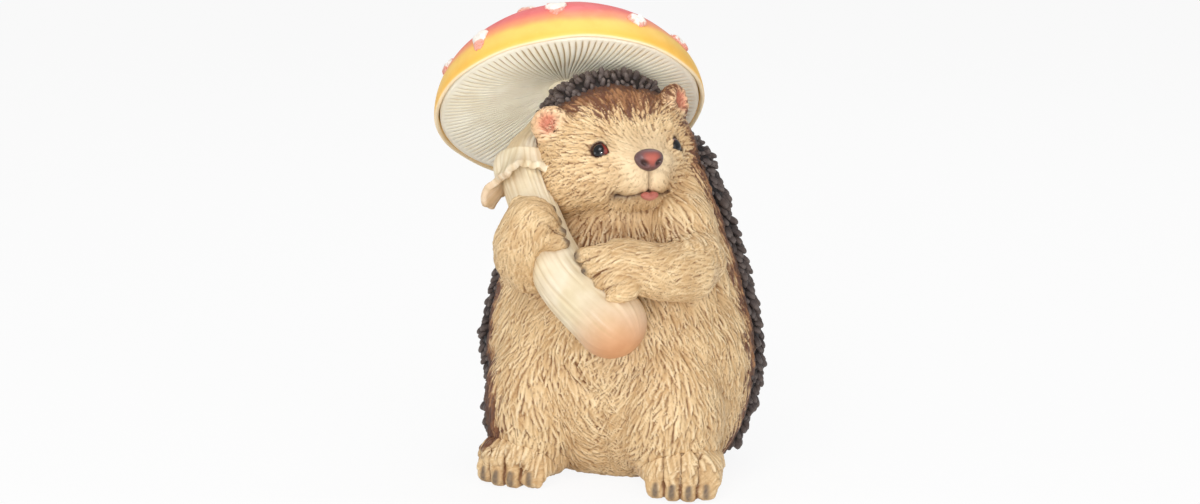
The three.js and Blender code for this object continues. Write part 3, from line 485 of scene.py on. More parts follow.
# %% Points, neighbours and castings
count = len(coat_mesh.vertices)
spots = figure_mm(coordinates(coat_mesh))
pairs = np.empty(len(coat_mesh.edges) * 2, int)
coat_mesh.edges.foreach_get("vertices", pairs)
pairs = pairs.reshape(-1, 2)
ends = np.concatenate([pairs[:, 0], pairs[:, 1]])
others = np.concatenate([pairs[:, 1], pairs[:, 0]])
order = np.argsort(ends, kind="stable")
others = others[order]
starts = np.searchsorted(ends[order], np.arange(count))
degree = np.bincount(ends, minlength=count)


def spread(values, times=1):
    """Each point's value blended with its neighbours' mean."""
    for _ in range(times):
        mean = np.add.reduceat(values[others], starts, axis=0)
        values = 0.5 * values + 0.5 * (mean.T / degree).T
    return values


def unit(vectors):
    return vectors / np.maximum(np.linalg.norm(vectors, axis=1, keepdims=True), 1e-9)


def ramp(values, low, high):
    """0 at low and 1 at high, eased, also for a falling ramp."""
    share = np.clip((values - low) / (high - low), 0, 1)
    return share * share * (3 - 2 * share)


def bell(distance, half):
    """1 on a line or a place, fading to nothing at about twice the half width."""
    return np.exp(-((distance / half) ** 2))


def skin_normals(points):
    coat_mesh.vertices.foreach_set("co", row_metres(points).ravel())
    coat_mesh.update()
    found = np.empty(count * 3)
    coat_mesh.vertices.foreach_get("normal", found)
    return found.reshape(-1, 3)


def distances(tree, points):
    """Millimetres from figure-frame points to the nearest face of a tree in the row frame."""
    return np.array([tree.find_nearest(p)[3] for p in row_metres(points)]) / MM


def point_tree(points):
    tree = KDTree(len(points))
    for i, p in enumerate(points):
        tree.insert(p, i)
    tree.balance()
    return tree


nearest = np.array([coat_tree.find_nearest(v.co)[2] for v in coat_mesh.vertices])
belongs = spread(np.eye(len(FURRED))[coat_owner[nearest]], 12)
casting = belongs.argmax(1)
share_of = belongs.T
normals = skin_normals(spots)
to_quills = distances(quill_tree, spots)
to_stem = distances(stem_tree, spots)
print("points per casting:", dict(zip(FURRED, np.bincount(casting, minlength=len(FURRED)).tolist())))

# %% [markdown]
# ## Face
# The face is modelled before the fur. Each eye gets an almond opening in its lids, the muzzle gets two soft
# pads under the nose, and a fine furrow runs from the nose to the mouth. All of them are strokes of a brush:
# a distance from a line or a place, and a depth. The lines are drawn across and up, and laid on the face.

# %% Eyelids
EYE_RADIUS = 5.3
LID_LONG, LID_HIGH, LID_CORNER = 4.7, 4.1, 0.45
NOSE_TIP = np.array((0, -43, 0.5))


def eye_axes(side):
    """Centre of an eye and its axes in the head's frame: towards the nose, up, and outwards."""
    low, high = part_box("eye_left" if side > 0 else "eye_right")
    centre = head_mm(figure_mm([(low + high) / 2]))[0]
    out = np.array((side, -1.15, 0.75)) / np.linalg.norm((side, -1.15, 0.75))
    inward = NOSE_TIP - np.array((0, 0, 3)) - centre
    inward -= out * inward.dot(out)
    inward /= np.linalg.norm(inward)
    up = np.cross(out, inward) * side
    return centre, np.array((inward, up, out))


face = head_mm(spots)
lid_edge = np.zeros(count)
in_socket = np.zeros(count)
for side in (1, -1):
    centre, axes = eye_axes(side)
    local = (face - centre) @ axes.T
    near = (np.linalg.norm(local, axis=1) < 11) & (local[:, 2] > 0)
    a, b, c = local[near].T
    high = LID_HIGH * (1 - LID_CORNER * np.clip(a / LID_LONG, 0, 1))
    reach = np.hypot(a / LID_LONG, b / high)
    rim = np.maximum(reach, 1e-3)
    rim_depth = np.sqrt(np.maximum(EYE_RADIUS**2 - (a / rim) ** 2 - (b / rim) ** 2, 1)) + 0.5
    bead = np.sqrt(np.maximum(EYE_RADIUS**2 - a**2 - b**2, 1)) - 1.0
    pull = np.where(reach < 1, 1.0, bell(reach - 1, 0.45))
    goal = np.where(reach < 1, bead, rim_depth)
    local[near, 2] = c + pull * (goal - c)
    face[near] = (local @ axes + centre)[near]
    lid_edge[near] = np.maximum(lid_edge[near], bell(reach - 1, 0.11))
    in_socket[near] = np.maximum(in_socket[near], reach < 1.03)
spots = face @ head_rotation.T + np.array(HEAD_AT)
normals = skin_normals(spots)
print("lid points", int((lid_edge > 0.5).sum()))

# %% Muzzle, furrow and mouth
MOUTH = np.array([(-13.5, -16.4), (-9, -17.2), (-4, -15.8), (0, -15.2), (4, -15.8), (9, -17), (14, -15.8)])
FURROW = np.array([(0, -4), (-0.2, -10), (0, -15)])
on_head = share_of[HEAD] > 0.4
on_muzzle = on_head & (face[:, 1] < -24)


def along_line(points, line):
    """Distance from each point to a chain of straight pieces."""
    best = np.full(len(points), 1e9)
    for a, b in zip(line[:-1], line[1:]):
        t = np.clip((points - a) @ (b - a) / (b - a).dot(b - a), 0, 1)
        best = np.minimum(best, np.linalg.norm(points - a - t[:, None] * (b - a), axis=1))
    return best


across_up = face[:, [0, 2]]
pads = bell(np.abs(face[:, 0]) - 6, 5) * bell(face[:, 2] + 9, 5) * on_muzzle
chin = bell(face[:, 0], 8) * bell(face[:, 2] + 21.5, 3.2) * on_muzzle
mouth_line = bell(along_line(across_up, MOUTH), 0.85) * on_muzzle
corner = bell(np.linalg.norm(across_up - MOUTH[0], axis=1), 2.4) * on_muzzle
furrow_line = bell(along_line(across_up, FURROW), 0.75) * on_muzzle
push = 1.6 * pads + 1.2 * chin - 1.5 * mouth_line - 0.9 * furrow_line - 0.6 * corner
spots = spots + normals * push[:, None]
print("mouth points", int((mouth_line > 0.5).sum()), "furrow points", int((furrow_line > 0.5).sum()))

# %% [markdown]
# ## Thighs, toes and fingers
# The thighs are two soft bulges that meet the belly in a fold shaped like a V. Grooves part the toes and the
# fingers, and each ends in a claw. They are drawn in frames of their own: a toe by its place across the
# foot, and a finger by its place along the row of fingertips.

# %% Thighs, toes and fingers
MIDLINE = 6
FOLDS = [[(-27, 68), (-10, 57), (6, 46)], [(38, 78), (22, 61), (6, 46)], [(6, 46), (6, 13)]]
THIGHS = [(39, 37), (-33, 37)]
FEET = {FOOT_LEFT: (46, 1), FOOT_RIGHT: (-43, -1)}
TOE_SPREAD, FOOT_FRONT, FOOT_TURN = 12.3, -65.5, 8
FINGERS = {
    ARM_LEFT: ((11.2, -72.4, 100), (-2.1, -65.6, 119.2), (23.2, -74.4, 106)),
    ARM_RIGHT: ((-12.7, -61, 122.5), (-21.5, -53.2, 136.8), (-24.7, -69, 127.5)),
}  # tips of the two end fingers, and the knuckle of the first
x, y, z = spots.T
front = ramp(y, -22, -40) * share_of[TORSO]
from_folds = [along_line(spots[:, [0, 2]], np.array(line, float)) for line in FOLDS]
fold = np.max([bell(away, 4.2) for away in from_folds], axis=0) * front
thigh = sum(bell(x - a, 19) * bell(z - b, 25) for a, b in THIGHS) * front
gap, claw = np.zeros(count), np.zeros(count)


def row_gap(place, spacing, half):
    """Grooves half-way between whole numbers from 0 to 3."""
    middle = np.clip(np.floor(place), 0, 2) + 0.5
    return bell((place - middle) * spacing, half)


for k, (foot_x, side) in FEET.items():
    local = into_frame(spots, Matrix.Translation((foot_x, FOOT_FRONT, 0)) @ turned(side * FOOT_TURN, "Z"))
    mine = share_of[k] > 0.3
    place = 1.5 + 1.5 * local[:, 0] / TOE_SPREAD
    gap = np.maximum(gap, row_gap(place, 8.2, 1.0) * ramp(local[:, 1], 15, 7) * mine)
    for toe in (-1, -1 / 3, 1 / 3, 1):
        back = 4 * toe * toe
        line = np.array([(toe * TOE_SPREAD, 0.8 + back, 2.6), (toe * TOE_SPREAD * 0.98, 2.6 + back, 7.6)])
        claw = np.maximum(claw, bell(along_line(local, line), 2.0 - 0.1 * local[:, 2]) * mine)
for k, (first, last, knuckle) in FINGERS.items():
    row, long = np.subtract(last, first), np.subtract(knuckle, first)
    u, w = np.linalg.pinv(np.stack([row, long], 1)) @ (spots - first).T
    spacing = np.linalg.norm(row) / 3
    mine = share_of[k] > 0.3
    from_tips = along_line(spots, np.array([first, last], float))
    parting = 0.75 * row_gap(3 * u, spacing, 0.9) * ramp(w, 1.3, 0.3) * ramp(from_tips, 20, 12) * mine
    gap = np.maximum(gap, parting)
    tip = bell((3 * u - np.clip(np.round(3 * u), 0, 3)) * spacing, 1.7)
    claw = np.maximum(claw, tip * ramp(w, 0.22, 0.0) * ramp(from_tips, 9, 5) * mine)
push = 3.0 * thigh - 1.4 * fold - 1.1 * gap + 0.7 * claw
spots = spots + normals * push[:, None]
normals = spread(skin_normals(spots), 2)
x, y, z = spots.T
print("fold points", int((fold > 0.5).sum()), "claw points", int((claw > 0.5).sum()))

# %% [markdown]
# ## Where the quills begin
# The quills grow from a bed that swells up out of the coat. The CAD shells say where it lies, and its edge is
# drawn out a few millimetres beyond them: over the brow, behind the ears and round the right flank. Each
# point's distance from that edge then shapes the bed, and stains the fur beside it.

# %% Where the quills begin
BED_LIFT, BED_SLOPE, BED_SUNK, HIDDEN_INSET = 4.6, 8.0, 0.5, 2.0
face = head_mm(spots)
near_ear = np.maximum(share_of[EAR_LEFT], share_of[EAR_RIGHT]) > 0.12
low_flank = ramp(x, -20, -42) * ramp(z, 100, 55)
haunch_side = ramp(x, -20, -42) * ramp(z, 62, 40)
ear_side = ramp(face[:, 0], -24, -36) * (casting == HEAD)
brow = ramp(np.abs(face[:, 0]), 30, 12) * ramp(face[:, 2], 16, 26) * on_head
beyond = 3.2 + 5.5 * low_flank + 30.0 * haunch_side + 3.0 * brow
behind_ears = (casting == HEAD) & (face[:, 1] > 8) & (face[:, 2] > -24)
bed = ((to_quills < beyond) | behind_ears) & ((casting == TORSO) | (casting == HEAD)) & ~near_ear & (z > 4)
fur_tree_points = point_tree(spots[~bed])
bed_tree_points = point_tree(spots[bed])
inset = np.zeros(count)
inset[bed] = [fur_tree_points.find(p)[2] for p in spots[bed]]
to_bed = np.zeros(count)
to_bed[~bed] = [bed_tree_points.find(p)[2] for p in spots[~bed]]
inset, to_bed = spread(inset, 4), spread(to_bed, 4)
bed_lift = BED_LIFT * ramp(inset, 0.0, BED_SLOPE) * (1 - 0.8 * np.maximum(haunch_side, ear_side))
bed_at = spots + spread(normals, 20) * (bed_lift - BED_SUNK)[:, None]
hidden = inset > HIDDEN_INSET
print("bed points", int(bed.sum()), "hidden", int(hidden.sum()))

# %% [markdown]
# ## Which way the fur lies
# Fur sculpts well only if every stroke follows the lie of the coat. On the head it sweeps back from the
# nose. On the body it falls, and turns outwards to the quills over the flanks and inwards to the fold between
# the thighs. On the arms it runs along the limb to the claws. The field is blurred over the seams.

# %% Lie of the fur
LEFT_ARM = np.array([(29, -17, 122), (46, -38, 110), (33.5, -57.5, 112), (17, -63, 115), (4.5, -69, 109.5)])
RIGHT_ARM = np.array([(-30, -17, 120), (-32, -46, 109), (-34, -62, 121), (-28, -63, 133), (-17, -57, 130)])


def eased_line(line, steps=12):
    """A chain of points rounded off by averaging, with its directions."""
    share = np.linspace(0, len(line) - 1, steps * (len(line) - 1) + 1)
    points = np.stack([np.interp(share, np.arange(len(line)), line[:, k]) for k in range(3)], 1)
    for _ in range(steps):
        points[1:-1] = (points[:-2] + 2 * points[1:-1] + points[2:]) / 4
    return points, unit(np.gradient(points, axis=0))


def limb_lie(points, line):
    chain, ways = eased_line(line)
    gaps = np.linalg.norm(points[:, None] - chain[None], axis=2)
    return ways[gaps.argmin(1)]


lie = np.zeros((count, 3))
off = x - MIDLINE
low_turn = np.clip((np.abs(off) - 36) / 22, -1.1, 0.8)
high_turn = 1.1 * np.clip(np.abs(off) / 45, 0, 1) ** 1.5
rise = ramp(z, 50, 85)
lie[:, 0] = np.sign(off) * ((1 - rise) * low_turn + rise * high_turn)
lie[:, 2] = -1
back_from_nose = unit(face - NOSE_TIP)
back_from_nose[:, 2] -= 0.5 * ramp(face[:, 2], -12, -26)
lie[casting == HEAD] = (back_from_nose @ head_rotation.T)[casting == HEAD]
for k, line in ((ARM_LEFT, LEFT_ARM), (ARM_RIGHT, RIGHT_ARM)):
    lie[casting == k] = limb_lie(spots[casting == k], line)
for k, (_, side) in FEET.items():
    lie[casting == k] = (0.15 * side, -1, -0.3)
EARS = {EAR_LEFT: (1, 49), EAR_RIGHT: (-1, 63)}
in_ear = np.zeros(count)
for k, (side, round_head) in EARS.items():
    a = math.radians(round_head)
    at = Matrix.Translation((side * 40 * math.sin(a), -8, 36 * math.cos(a)))
    ear_frame = head_frame @ at @ turned(side * 30, "Z") @ turned(side * round_head / 2, "Y")
    local = into_frame(spots, ear_frame)
    from_hollow = np.hypot(local[:, 0], local[:, 2] - 1.5)
    in_ear = np.maximum(in_ear, ramp(from_hollow, 6.6, 2.6) * ramp(local[:, 1], 2.5, 0) * (share_of[k] > 0.2))
    mine = casting == k
    outwards = np.stack([local[:, 0], np.full(count, 1.5), local[:, 2] + 4], 1)
    lie[mine] = unit((outwards @ np.array(ear_frame.inverted().to_3x3()))[mine])
lie = spread(unit(lie), 20)
lie = unit(lie - normals * np.sum(lie * normals, axis=1, keepdims=True))


def swirl(scale, waves=7):
    """A gentle field of hills from -1 to 1, made of a few waves across the figure."""
    total = np.zeros(count)
    for _ in range(waves):
        way = rng.normal(size=3)
        way *= 2 * math.pi / (scale * np.linalg.norm(way) * rng.uniform(0.7, 1.5))
        total += np.sin(spots @ way + rng.uniform(0, 6.3))
    return total / math.sqrt(waves / 2) / 2


side_way = np.cross(normals, lie)
lean = 0.32 * swirl(24)
lie = unit(lie * np.cos(lean)[:, None] + side_way * np.sin(lean)[:, None])
side_way = np.cross(normals, lie)
ear_skin = np.maximum(share_of[EAR_LEFT], share_of[EAR_RIGHT])
spots = spots + normals * (1.3 * ear_skin - 1.5 * in_ear)[:, None]
print("lie of the fur set on", count, "points")

# %% [markdown]
# ## Tufts and strands
# The fur is laid on as a sculptor does with a loop tool: thousands of pointed strokes, each a low ridge that
# swells and runs out in a tip. Where strokes overlap the higher one wins, so sharp furrows stay
# between them. A coarse layer gives the tufts, and a fine layer the strands.

# %% Lay the strokes
tree_of_spots = point_tree(spots)
muzzle = bell(np.linalg.norm(face - NOSE_TIP, axis=1), 17) * on_head
ruff = (
    ramp(z, 100, 112) * ramp(z, 136, 124) * ramp(y, -8, -28)
    * (share_of[TORSO] + share_of[HEAD]) * ramp(np.abs(x - MIDLINE), 42, 30)
)
ruff *= np.maximum(share_of[TORSO], ramp(face[:, 2], -18, -27))
bare = np.clip(in_socket + 0.8 * mouth_line + furrow_line + lid_edge + claw, 0, 1)
SKIN_PER_POINT = (VOXEL / 2) ** 2


def by_casting(torso, head, arm, foot, ear):
    return belongs @ np.array((torso, head, arm, arm, foot, foot, ear, ear), float)


def lay_strokes(spacing, length, width, height, fan):
    """Ridges over the skin: their height, and for each point its stroke's tone, roundness and run."""
    relief, tone, round_off, run = np.zeros(count), rng.random(count), np.ones(count), np.zeros(count)
    chosen = np.flatnonzero((rng.random(count) < SKIN_PER_POINT / spacing**2) & ~hidden)
    rng.shuffle(chosen)
    for i in chosen:
        turn = rng.normal(0, fan)
        way = lie[i] * math.cos(turn) + side_way[i] * math.sin(turn)
        long = length[i] * rng.uniform(0.7, 1.3)
        half = width[i] * rng.uniform(0.75, 1.25)
        lift = height[i] * rng.uniform(0.7, 1.2)
        bow = rng.normal(0, 0.1) * long
        found = tree_of_spots.find_range(spots[i] + way * long / 2, long / 2 + half)
        near = np.fromiter((f[1] for f in found), int, len(found))
        away = spots[near] - spots[i]
        s = away @ way / long
        t = away @ np.cross(normals[i], way) - bow * s * s
        spine = np.clip(s, 0, 1)
        taper = half * np.sqrt(np.clip(spine * 6, 0, 1)) * np.clip((1 - spine) * 1.5, 0, 1) ** 0.7 + 1e-6
        curve = 1 - (t / taper) ** 2
        ridge = lift * (0.35 + 0.65 * spine) * np.clip((1 - spine) * 5, 0, 1) * curve
        wins = (s > 0) & (s < 1) & (ridge > relief[near]) & (normals[near] @ normals[i] > 0.25)
        won = near[wins]
        relief[won], tone[won], round_off[won], run[won] = ridge[wins], rng.random(), curve[wins], s[wins]
    return relief, tone, round_off, run, len(chosen)


calm = (1 - 0.85 * muzzle) * (1 - bare) * (1 - 0.5 * in_ear) * ramp(z, 0.3, 3.0)
tufts, tuft_tone, tuft_round, _, tuft_count = lay_strokes(
    by_casting(4.6, 3.6, 3.8, 3.4, 2.8),
    by_casting(19, 10, 12, 9, 6) * (1 - 0.35 * ruff),
    by_casting(3.5, 2.1, 2.3, 2.0, 1.5),
    by_casting(2.1, 0.95, 0.8, 0.28, 0.8) * calm,
    0.24,
)
strands, strand_tone, strand_round, strand_run, strand_count = lay_strokes(
    by_casting(2.3, 1.8, 2.0, 1.9, 1.6),
    by_casting(13, 7.5, 10, 7, 5.5) * (1 - 0.35 * ruff) * (1 - 0.4 * muzzle),
    by_casting(1.4, 1.0, 1.1, 1.0, 0.9),
    by_casting(1.5, 0.9, 0.75, 0.3, 0.6) * calm * (1 + 0.5 * ruff),
    0.2,
)
fur_height = 0.85 * spread(tufts, 1) + strands
bare_skin = spots
spots = spots + normals * fur_height[:, None]
spots[:, 2] = np.maximum(spots[:, 2], 0.1)
print("tufts", tuft_count, "strands", strand_count, "highest", round(float(fur_height.max()), 2), "mm")

# %% [markdown]
# ## Where each paint goes
# The painter's steps become masks on the points: brown in the furrows, partly a wash and partly painted shade,
# and painted shade in the creases, the grooves of the toes and fingers, the strands' roots, beside the stem and
# under the chin. Cream goes on the crests, partly dry-brush and partly painted highlight. Brown and rust fade
# out from the quills, pink goes in the ears and grey on the claws. They are stored as attributes, so each
# material can read them by name and the paint follows the sculpting exactly.

# %% Paint masks
fine = strands + 0.5 * tufts
furrow = np.clip((spread(fine, 6) - fine) / 0.24, 0, 1)
crest = np.clip((fine - spread(fine, 6)) / 0.3, 0, 1)
# Painted shade in the broad creases, such as the folds where the thighs meet the belly.
bend = np.sum((spread(bare_skin, 16) - bare_skin) * normals, axis=1)
crease_shade = np.clip(spread(bend, 4) / 0.4, 0, 1)
streak = 0.55 * strand_tone + 0.45 * tuft_tone
strand_edge = ramp(strand_round, 0.45, 0.05) * (0.3 + 0.7 * strand_tone)
edge_line = np.maximum(strand_edge, 0.9 * ramp(tuft_round, 0.3, 0.0))
forehead = ramp(np.abs(face[:, 0]), 24, 4) * ramp(face[:, 2], 10, 24) * on_head
stroke_reach = 2.0 + 3.5 * forehead + (9 + 15 * forehead) * strand_tone + 3 * tuft_tone
brown = ramp(to_bed, stroke_reach + 2.5, stroke_reach - 2.0)
# Painted shade on the fur beside the stem, streaked, carried in the brown mask.
shade_by_stem = 0.7 * ramp(to_stem, 4.5, 1) * ramp(streak, 0.25, 0.7) * (share_of[TORSO] + share_of[HEAD])
brown = np.maximum(brown, shade_by_stem)
rust = ramp(to_bed, 1.0 + 3.5 * strand_tone, 0.4 + 2.0 * strand_tone)
# Painted shade under the chin, streaked along the strands.
shade_under_chin = ruff * (0.15 + 0.55 * ramp(strand_tone, 0.35, 0.8))
on_feet = share_of[FOOT_LEFT] + share_of[FOOT_RIGHT]
# Dark lines in the furrows and along the strands' edges: partly the wash, partly painted shade.
lines = np.maximum(furrow * (0.55 + 0.45 * tuft_tone), 0.75 * edge_line)
line_wash_and_shade = (1 + 0.45 * on_head - 0.4 * on_feet) * lines
# Painted shade at each strand's root, where the tip of the strand before it lies over it.
root = ramp(strand_run, 0.35, 0.0) * strand_tone
# Painted shade adds to the wash here: more under the chin, in the creases, in the grooves between toes and
# fingers, and at the strands' roots.
wash_and_shade_sum = line_wash_and_shade * (1 + 0.6 * ruff) + 0.8 * crease_shade + 0.6 * gap + 0.3 * root
wash = np.clip(wash_and_shade_sum, 0, 1) * (1 - 0.7 * muzzle)
smile_shade = bell(along_line(across_up, MOUTH), 2.4) * on_muzzle
wash = np.maximum(wash, 0.55 * smile_shade)
# Dark paint on the mouth line, the nose furrow and the lid rims; the mouth's corner and the eye sockets get
# painted shade.
dark = np.clip(0.75 * mouth_line + 0.65 * corner + 0.42 * furrow_line + 0.85 * lid_edge + in_socket, 0, 1)
masks = {
    "wash": wash,
    # Cream on the crests: partly dry-brush, partly a painted highlight that grows toward each strand's tip.
    "crest": crest * (0.5 + 0.5 * strand_run) * (1 - 0.85 * np.maximum(brown, rust)),
    "streak": streak,
    "pale": muzzle,
    "brown": brown * (1 - dark),
    "rust": rust,
    "shade_under_chin": shade_under_chin,
    "claw": np.clip(1.2 * claw, 0, 1) * (0.6 + 0.4 * streak),
    "ear": np.clip(spread(share_of[EAR_LEFT] + share_of[EAR_RIGHT], 6), 0, 1),
    "pink": in_ear,
    "dark": dark,
    "hem": ramp(z, 2.6, 0.9) * (1 - share_of[FOOT_LEFT] - share_of[FOOT_RIGHT]),
}
for name, values in masks.items():
    point_mask(coat_mesh, name, values)
normals = skin_normals(spots)
for name, values in (("coat_normal", normals), ("bed_at", row_metres(bed_at))):
    stored = coat_mesh.attributes.new(name, "FLOAT_VECTOR", "POINT")
    stored.data.foreach_set("vector", values.astype(np.float32).ravel())
coat_mesh.attributes.new("casting", "INT", "POINT").data.foreach_set("value", casting.astype(np.int32))
point_mask(coat_mesh, "inset", inset)
print("masks:", {name: round(float(values.mean()), 3) for name, values in masks.items()})

# %% [markdown]
# ## Fur paint
# A tan coat, mixed strand by strand, takes the brown and rust by the quills, painted shade beside the stem and
# under the chin, pink ears and grey claws. The resin group then adds the wash and the dry-brush on top, as the
# painter does, together with painted shade in the furrows and a painted highlight on the crests.

# %% Fur material


def over(tree, color, *coats):
    """A colour with further coats, each where its mask is. A coat is a mask's name and a colour."""
    for mask, coat in coats:
        color = blended(tree, painted(tree, mask), color, coat)
    return color


def fur_color(tree):
    color = over(
        tree,
        swatch(206, 168, 118),
        ("streak", swatch(240, 212, 166)),
        ("pale", swatch(243, 220, 182)),
        # Painted shade under the chin.
        ("shade_under_chin", swatch(150, 106, 64)),
        ("ear", swatch(235, 200, 158)),
    )
    # The brown strokes by the quills also carry the painted shade beside the stem.
    streaky = ranged(tree, painted(tree, "streak"), 0.3, 0.7)
    strokes = blended(tree, streaky, swatch(160, 114, 78), swatch(104, 64, 48))
    return over(
        tree, color, ("brown", strokes), ("rust", swatch(86, 56, 46)), ("pink", swatch(222, 136, 112))
    )


def crest_left(tree):
    """The dry-brush and the painted highlight keep off the claws and the dark lines."""
    clean = sums(tree, "SUBTRACT", 1.0, painted(tree, "dark"))
    return sums(tree, "MULTIPLY", sums(tree, "MULTIPLY", painted(tree, "crest"), 0.7), clean)


def last_strokes(tree, color):
    """Claws, the face's dark lines and its painted shade, and the seam line at the base go on over everything.
    """
    return over(
        tree, color, ("hem", swatch(176, 112, 82)), ("claw", swatch(96, 82, 72)), ("dark", swatch(58, 38, 32))
    )


# Brown in the furrows, partly wash and partly painted shade; cream on the crests, partly dry-brush and partly
# painted highlight.
fur_paint = resin(
    "fur_paint", fur_color, swatch(116, 75, 42), lambda t: painted(t, "wash"), swatch(250, 232, 196), crest_left
)
fur_tree = fur_paint.node_tree
fur_shader = fur_tree.nodes["Principled BSDF"]
under_color = fur_shader.inputs["Base Color"].links[0].from_socket
feed(fur_tree, fur_shader.inputs["Base Color"], last_strokes(fur_tree, under_color))

# %% [markdown]
# ## Back into castings
# The finished skin is cut into the castings it was merged from. Each keeps its own part of the faces, its
# open seam is filled so that it is closed again, and it keeps the merged skin's normals, so no line shows
# at the seams. Deep under the quills, where nothing of it shows, the skin is thinned.

# %% Split the skin
FUR_SLOTS = {"ear_left": "ear_skin", "ear_right": "ear_skin"}
WORK_ATTRIBUTES = ("coat_normal", "bed_at", "casting", "inset")
THIN_INSET, THIN_AT_LEAST, THIN_SHARE = 4.5, 1000, 0.85


def shown_piece(obj, slot, *replaced):
    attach(obj, "root")
    if replaced:
        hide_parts(*replaced)
    return obj


def stripped(mesh, names):
    """Takes off the values that only the making needed."""
    for spare in [a.name for a in mesh.attributes if a.name in names]:
        mesh.attributes.remove(mesh.attributes[spare])


def thinned(mesh):
    """The same mesh with few faces where the quills hide it for good."""
    depth = np.empty(len(mesh.vertices), np.float32)
    mesh.attributes["inset"].data.foreach_get("value", depth)
    deep = np.flatnonzero(depth > THIN_INSET)
    if len(deep) < THIN_AT_LEAST:
        return mesh
    piece = held(mesh, "thinned")
    piece.vertex_groups.new(name="deep").add(deep.tolist(), 1.0, "REPLACE")
    thin = piece.modifiers.new("thin", "DECIMATE")
    thin.vertex_group = "deep"
    thin.ratio = 1 - THIN_SHARE * len(deep) / len(depth)
    return applied(piece)


for k, name in enumerate(FURRED):
    bm = bmesh.new()
    bm.from_mesh(coat_mesh)
    owner = bm.verts.layers.int["casting"]
    strange = [f for f in bm.faces if min(v[owner] for v in f.verts) != k]
    bmesh.ops.delete(bm, geom=strange, context="FACES")
    closed(bm)
    piece_mesh = thinned(as_mesh(bm, "fur_" + name))
    piece_mesh.name = "fur_" + name
    piece_mesh.shade_smooth()
    shared = np.empty(len(piece_mesh.vertices) * 3, np.float32)
    piece_mesh.attributes["coat_normal"].data.foreach_get("vector", shared)
    piece_mesh.normals_split_custom_set_from_vertices(shared.reshape(-1, 3).tolist())
    stripped(piece_mesh, WORK_ATTRIBUTES)
    piece_mesh.materials.append(fur_paint)
    shown_piece(held(piece_mesh, "fur_" + name), FUR_SLOTS.get(name, "fur"), name)
    print("fur_" + name, triangles(piece_mesh), "triangles")

# %% [markdown]
# ## Eyes
# Each eye is a glass-like bead in its socket: nearly black, with a warm brown iris that shows at the inner
# corner. A bead is a sphere, so an icosphere gives even faces all round. The lids are a thin almond ring
# that lies on the bead, rolled from a grid, because a ring with its own section stays crisp.

# %% Eye beads and lids


def rolled(name, around, along, place, close_ends=False):
    """A grid rolled into a tube: place(turn, share) gives each point, with turn and share from 0 to 1."""
    bm = bmesh.new()
    bmesh.ops.create_grid(bm, x_segments=around, y_segments=along, size=0.5)
    bm.verts.ensure_lookup_table()
    for v in bm.verts:
        v.co = place(v.co.x + 0.5, v.co.y + 0.5)
    bmesh.ops.remove_doubles(bm, verts=bm.verts, dist=1e-5)
    if close_ends:
        closed(bm)
    bmesh.ops.recalc_face_normals(bm, faces=bm.faces)
    return as_mesh(bm, name)


def finished(mesh, material, matrix, slot, *replaced):
    """A mesh in millimetres of a local frame becomes a shown piece of the row frame."""
    mesh.transform(figure_frame @ matrix)
    mesh.shade_smooth()
    mesh.materials.append(material)
    return shown_piece(held(mesh, mesh.name), slot, *replaced)


LID_HALF_WIDE, LID_HALF_THICK = 0.42, 0.4
eye_glass, eye_tree, eye_shader = material_of("eye_glass")
iris = blended(eye_tree, painted(eye_tree, "iris"), swatch(58, 24, 20), swatch(136, 46, 32))
iris = blended(eye_tree, painted(eye_tree, "pupil"), iris, swatch(16, 16, 18))
feed(eye_tree, eye_shader.inputs["Base Color"], iris)
feed(eye_tree, eye_shader.inputs["Roughness"], ranged(eye_tree, cloud(eye_tree, 300), 0.3, 0.7, 0.05, 0.12))
eye_shader.inputs["Coat Weight"].default_value = 0.4
eye_shader.inputs["Specular IOR Level"].default_value = 0.3
eye_shader.inputs["Coat Roughness"].default_value = 0.03
lid_paint = resin("lid_paint", swatch(70, 42, 32), swatch(40, 24, 20), 0.3, swatch(120, 84, 62), 0.15)


def lid_place(turn, share):
    """A thin ring on the bead, along the almond that the socket follows."""
    round_eye, round_lid = 2 * math.pi * turn, 2 * math.pi * share
    a = LID_LONG * math.cos(round_eye)
    b = LID_HIGH * (1 - LID_CORNER * max(math.cos(round_eye), 0)) * math.sin(round_eye)
    depth = math.sqrt(EYE_RADIUS**2 - a * a - b * b) + 0.1
    core = Vector((a, b, depth))
    outward = Vector((a, b, 0.0)).normalized()
    thick = Vector((0, 0, LID_HALF_THICK)) * math.sin(round_lid)
    return core + outward * LID_HALF_WIDE * math.cos(round_lid) + thick


for side, name in ((1, "left"), (-1, "right")):
    centre, axes = eye_axes(side)
    to_head = Matrix.Translation(centre) @ Matrix(axes.T).to_4x4()
    bm = bmesh.new()
    bmesh.ops.create_icosphere(bm, subdivisions=5, radius=EYE_RADIUS)
    bead = as_mesh(bm, "bead_eye_" + name)
    spot = coordinates(bead)
    gaze = 1.6 if side > 0 else -0.5
    point_mask(bead, "pupil", ramp(np.hypot(spot[:, 0] - gaze, spot[:, 1] - 0.5), 3.3, 2.7))
    point_mask(bead, "iris", ramp(spot[:, 0] - 0.6 * spot[:, 1], 1.4, 3.8))
    finished(bead, eye_glass, head_frame @ to_head, "eye", "eye_" + name)

    lid = rolled("lid_" + name, 64, 10, lid_place)
    finished(lid, lid_paint, head_frame @ to_head, "fur")
print("eyes set")

# %% [markdown]
# ## Nose and tongue
# The nose is a glossy pad, wider at the top, with two nostrils pressed into it. It starts as a sphere, and
# soft dents and a flattened front shape it. The tongue is a small pink lip with a crease down the middle.

# %% Nose and tongue
NOSE_HALF = np.array((7.3, 5.0, 5.4))
NOSE_AT = (0, -42.6, 0.5)
TONGUE_HALF = np.array((4.5, 3.2, 2.2))
TONGUE_AT = (0, -42.6, -16.8)


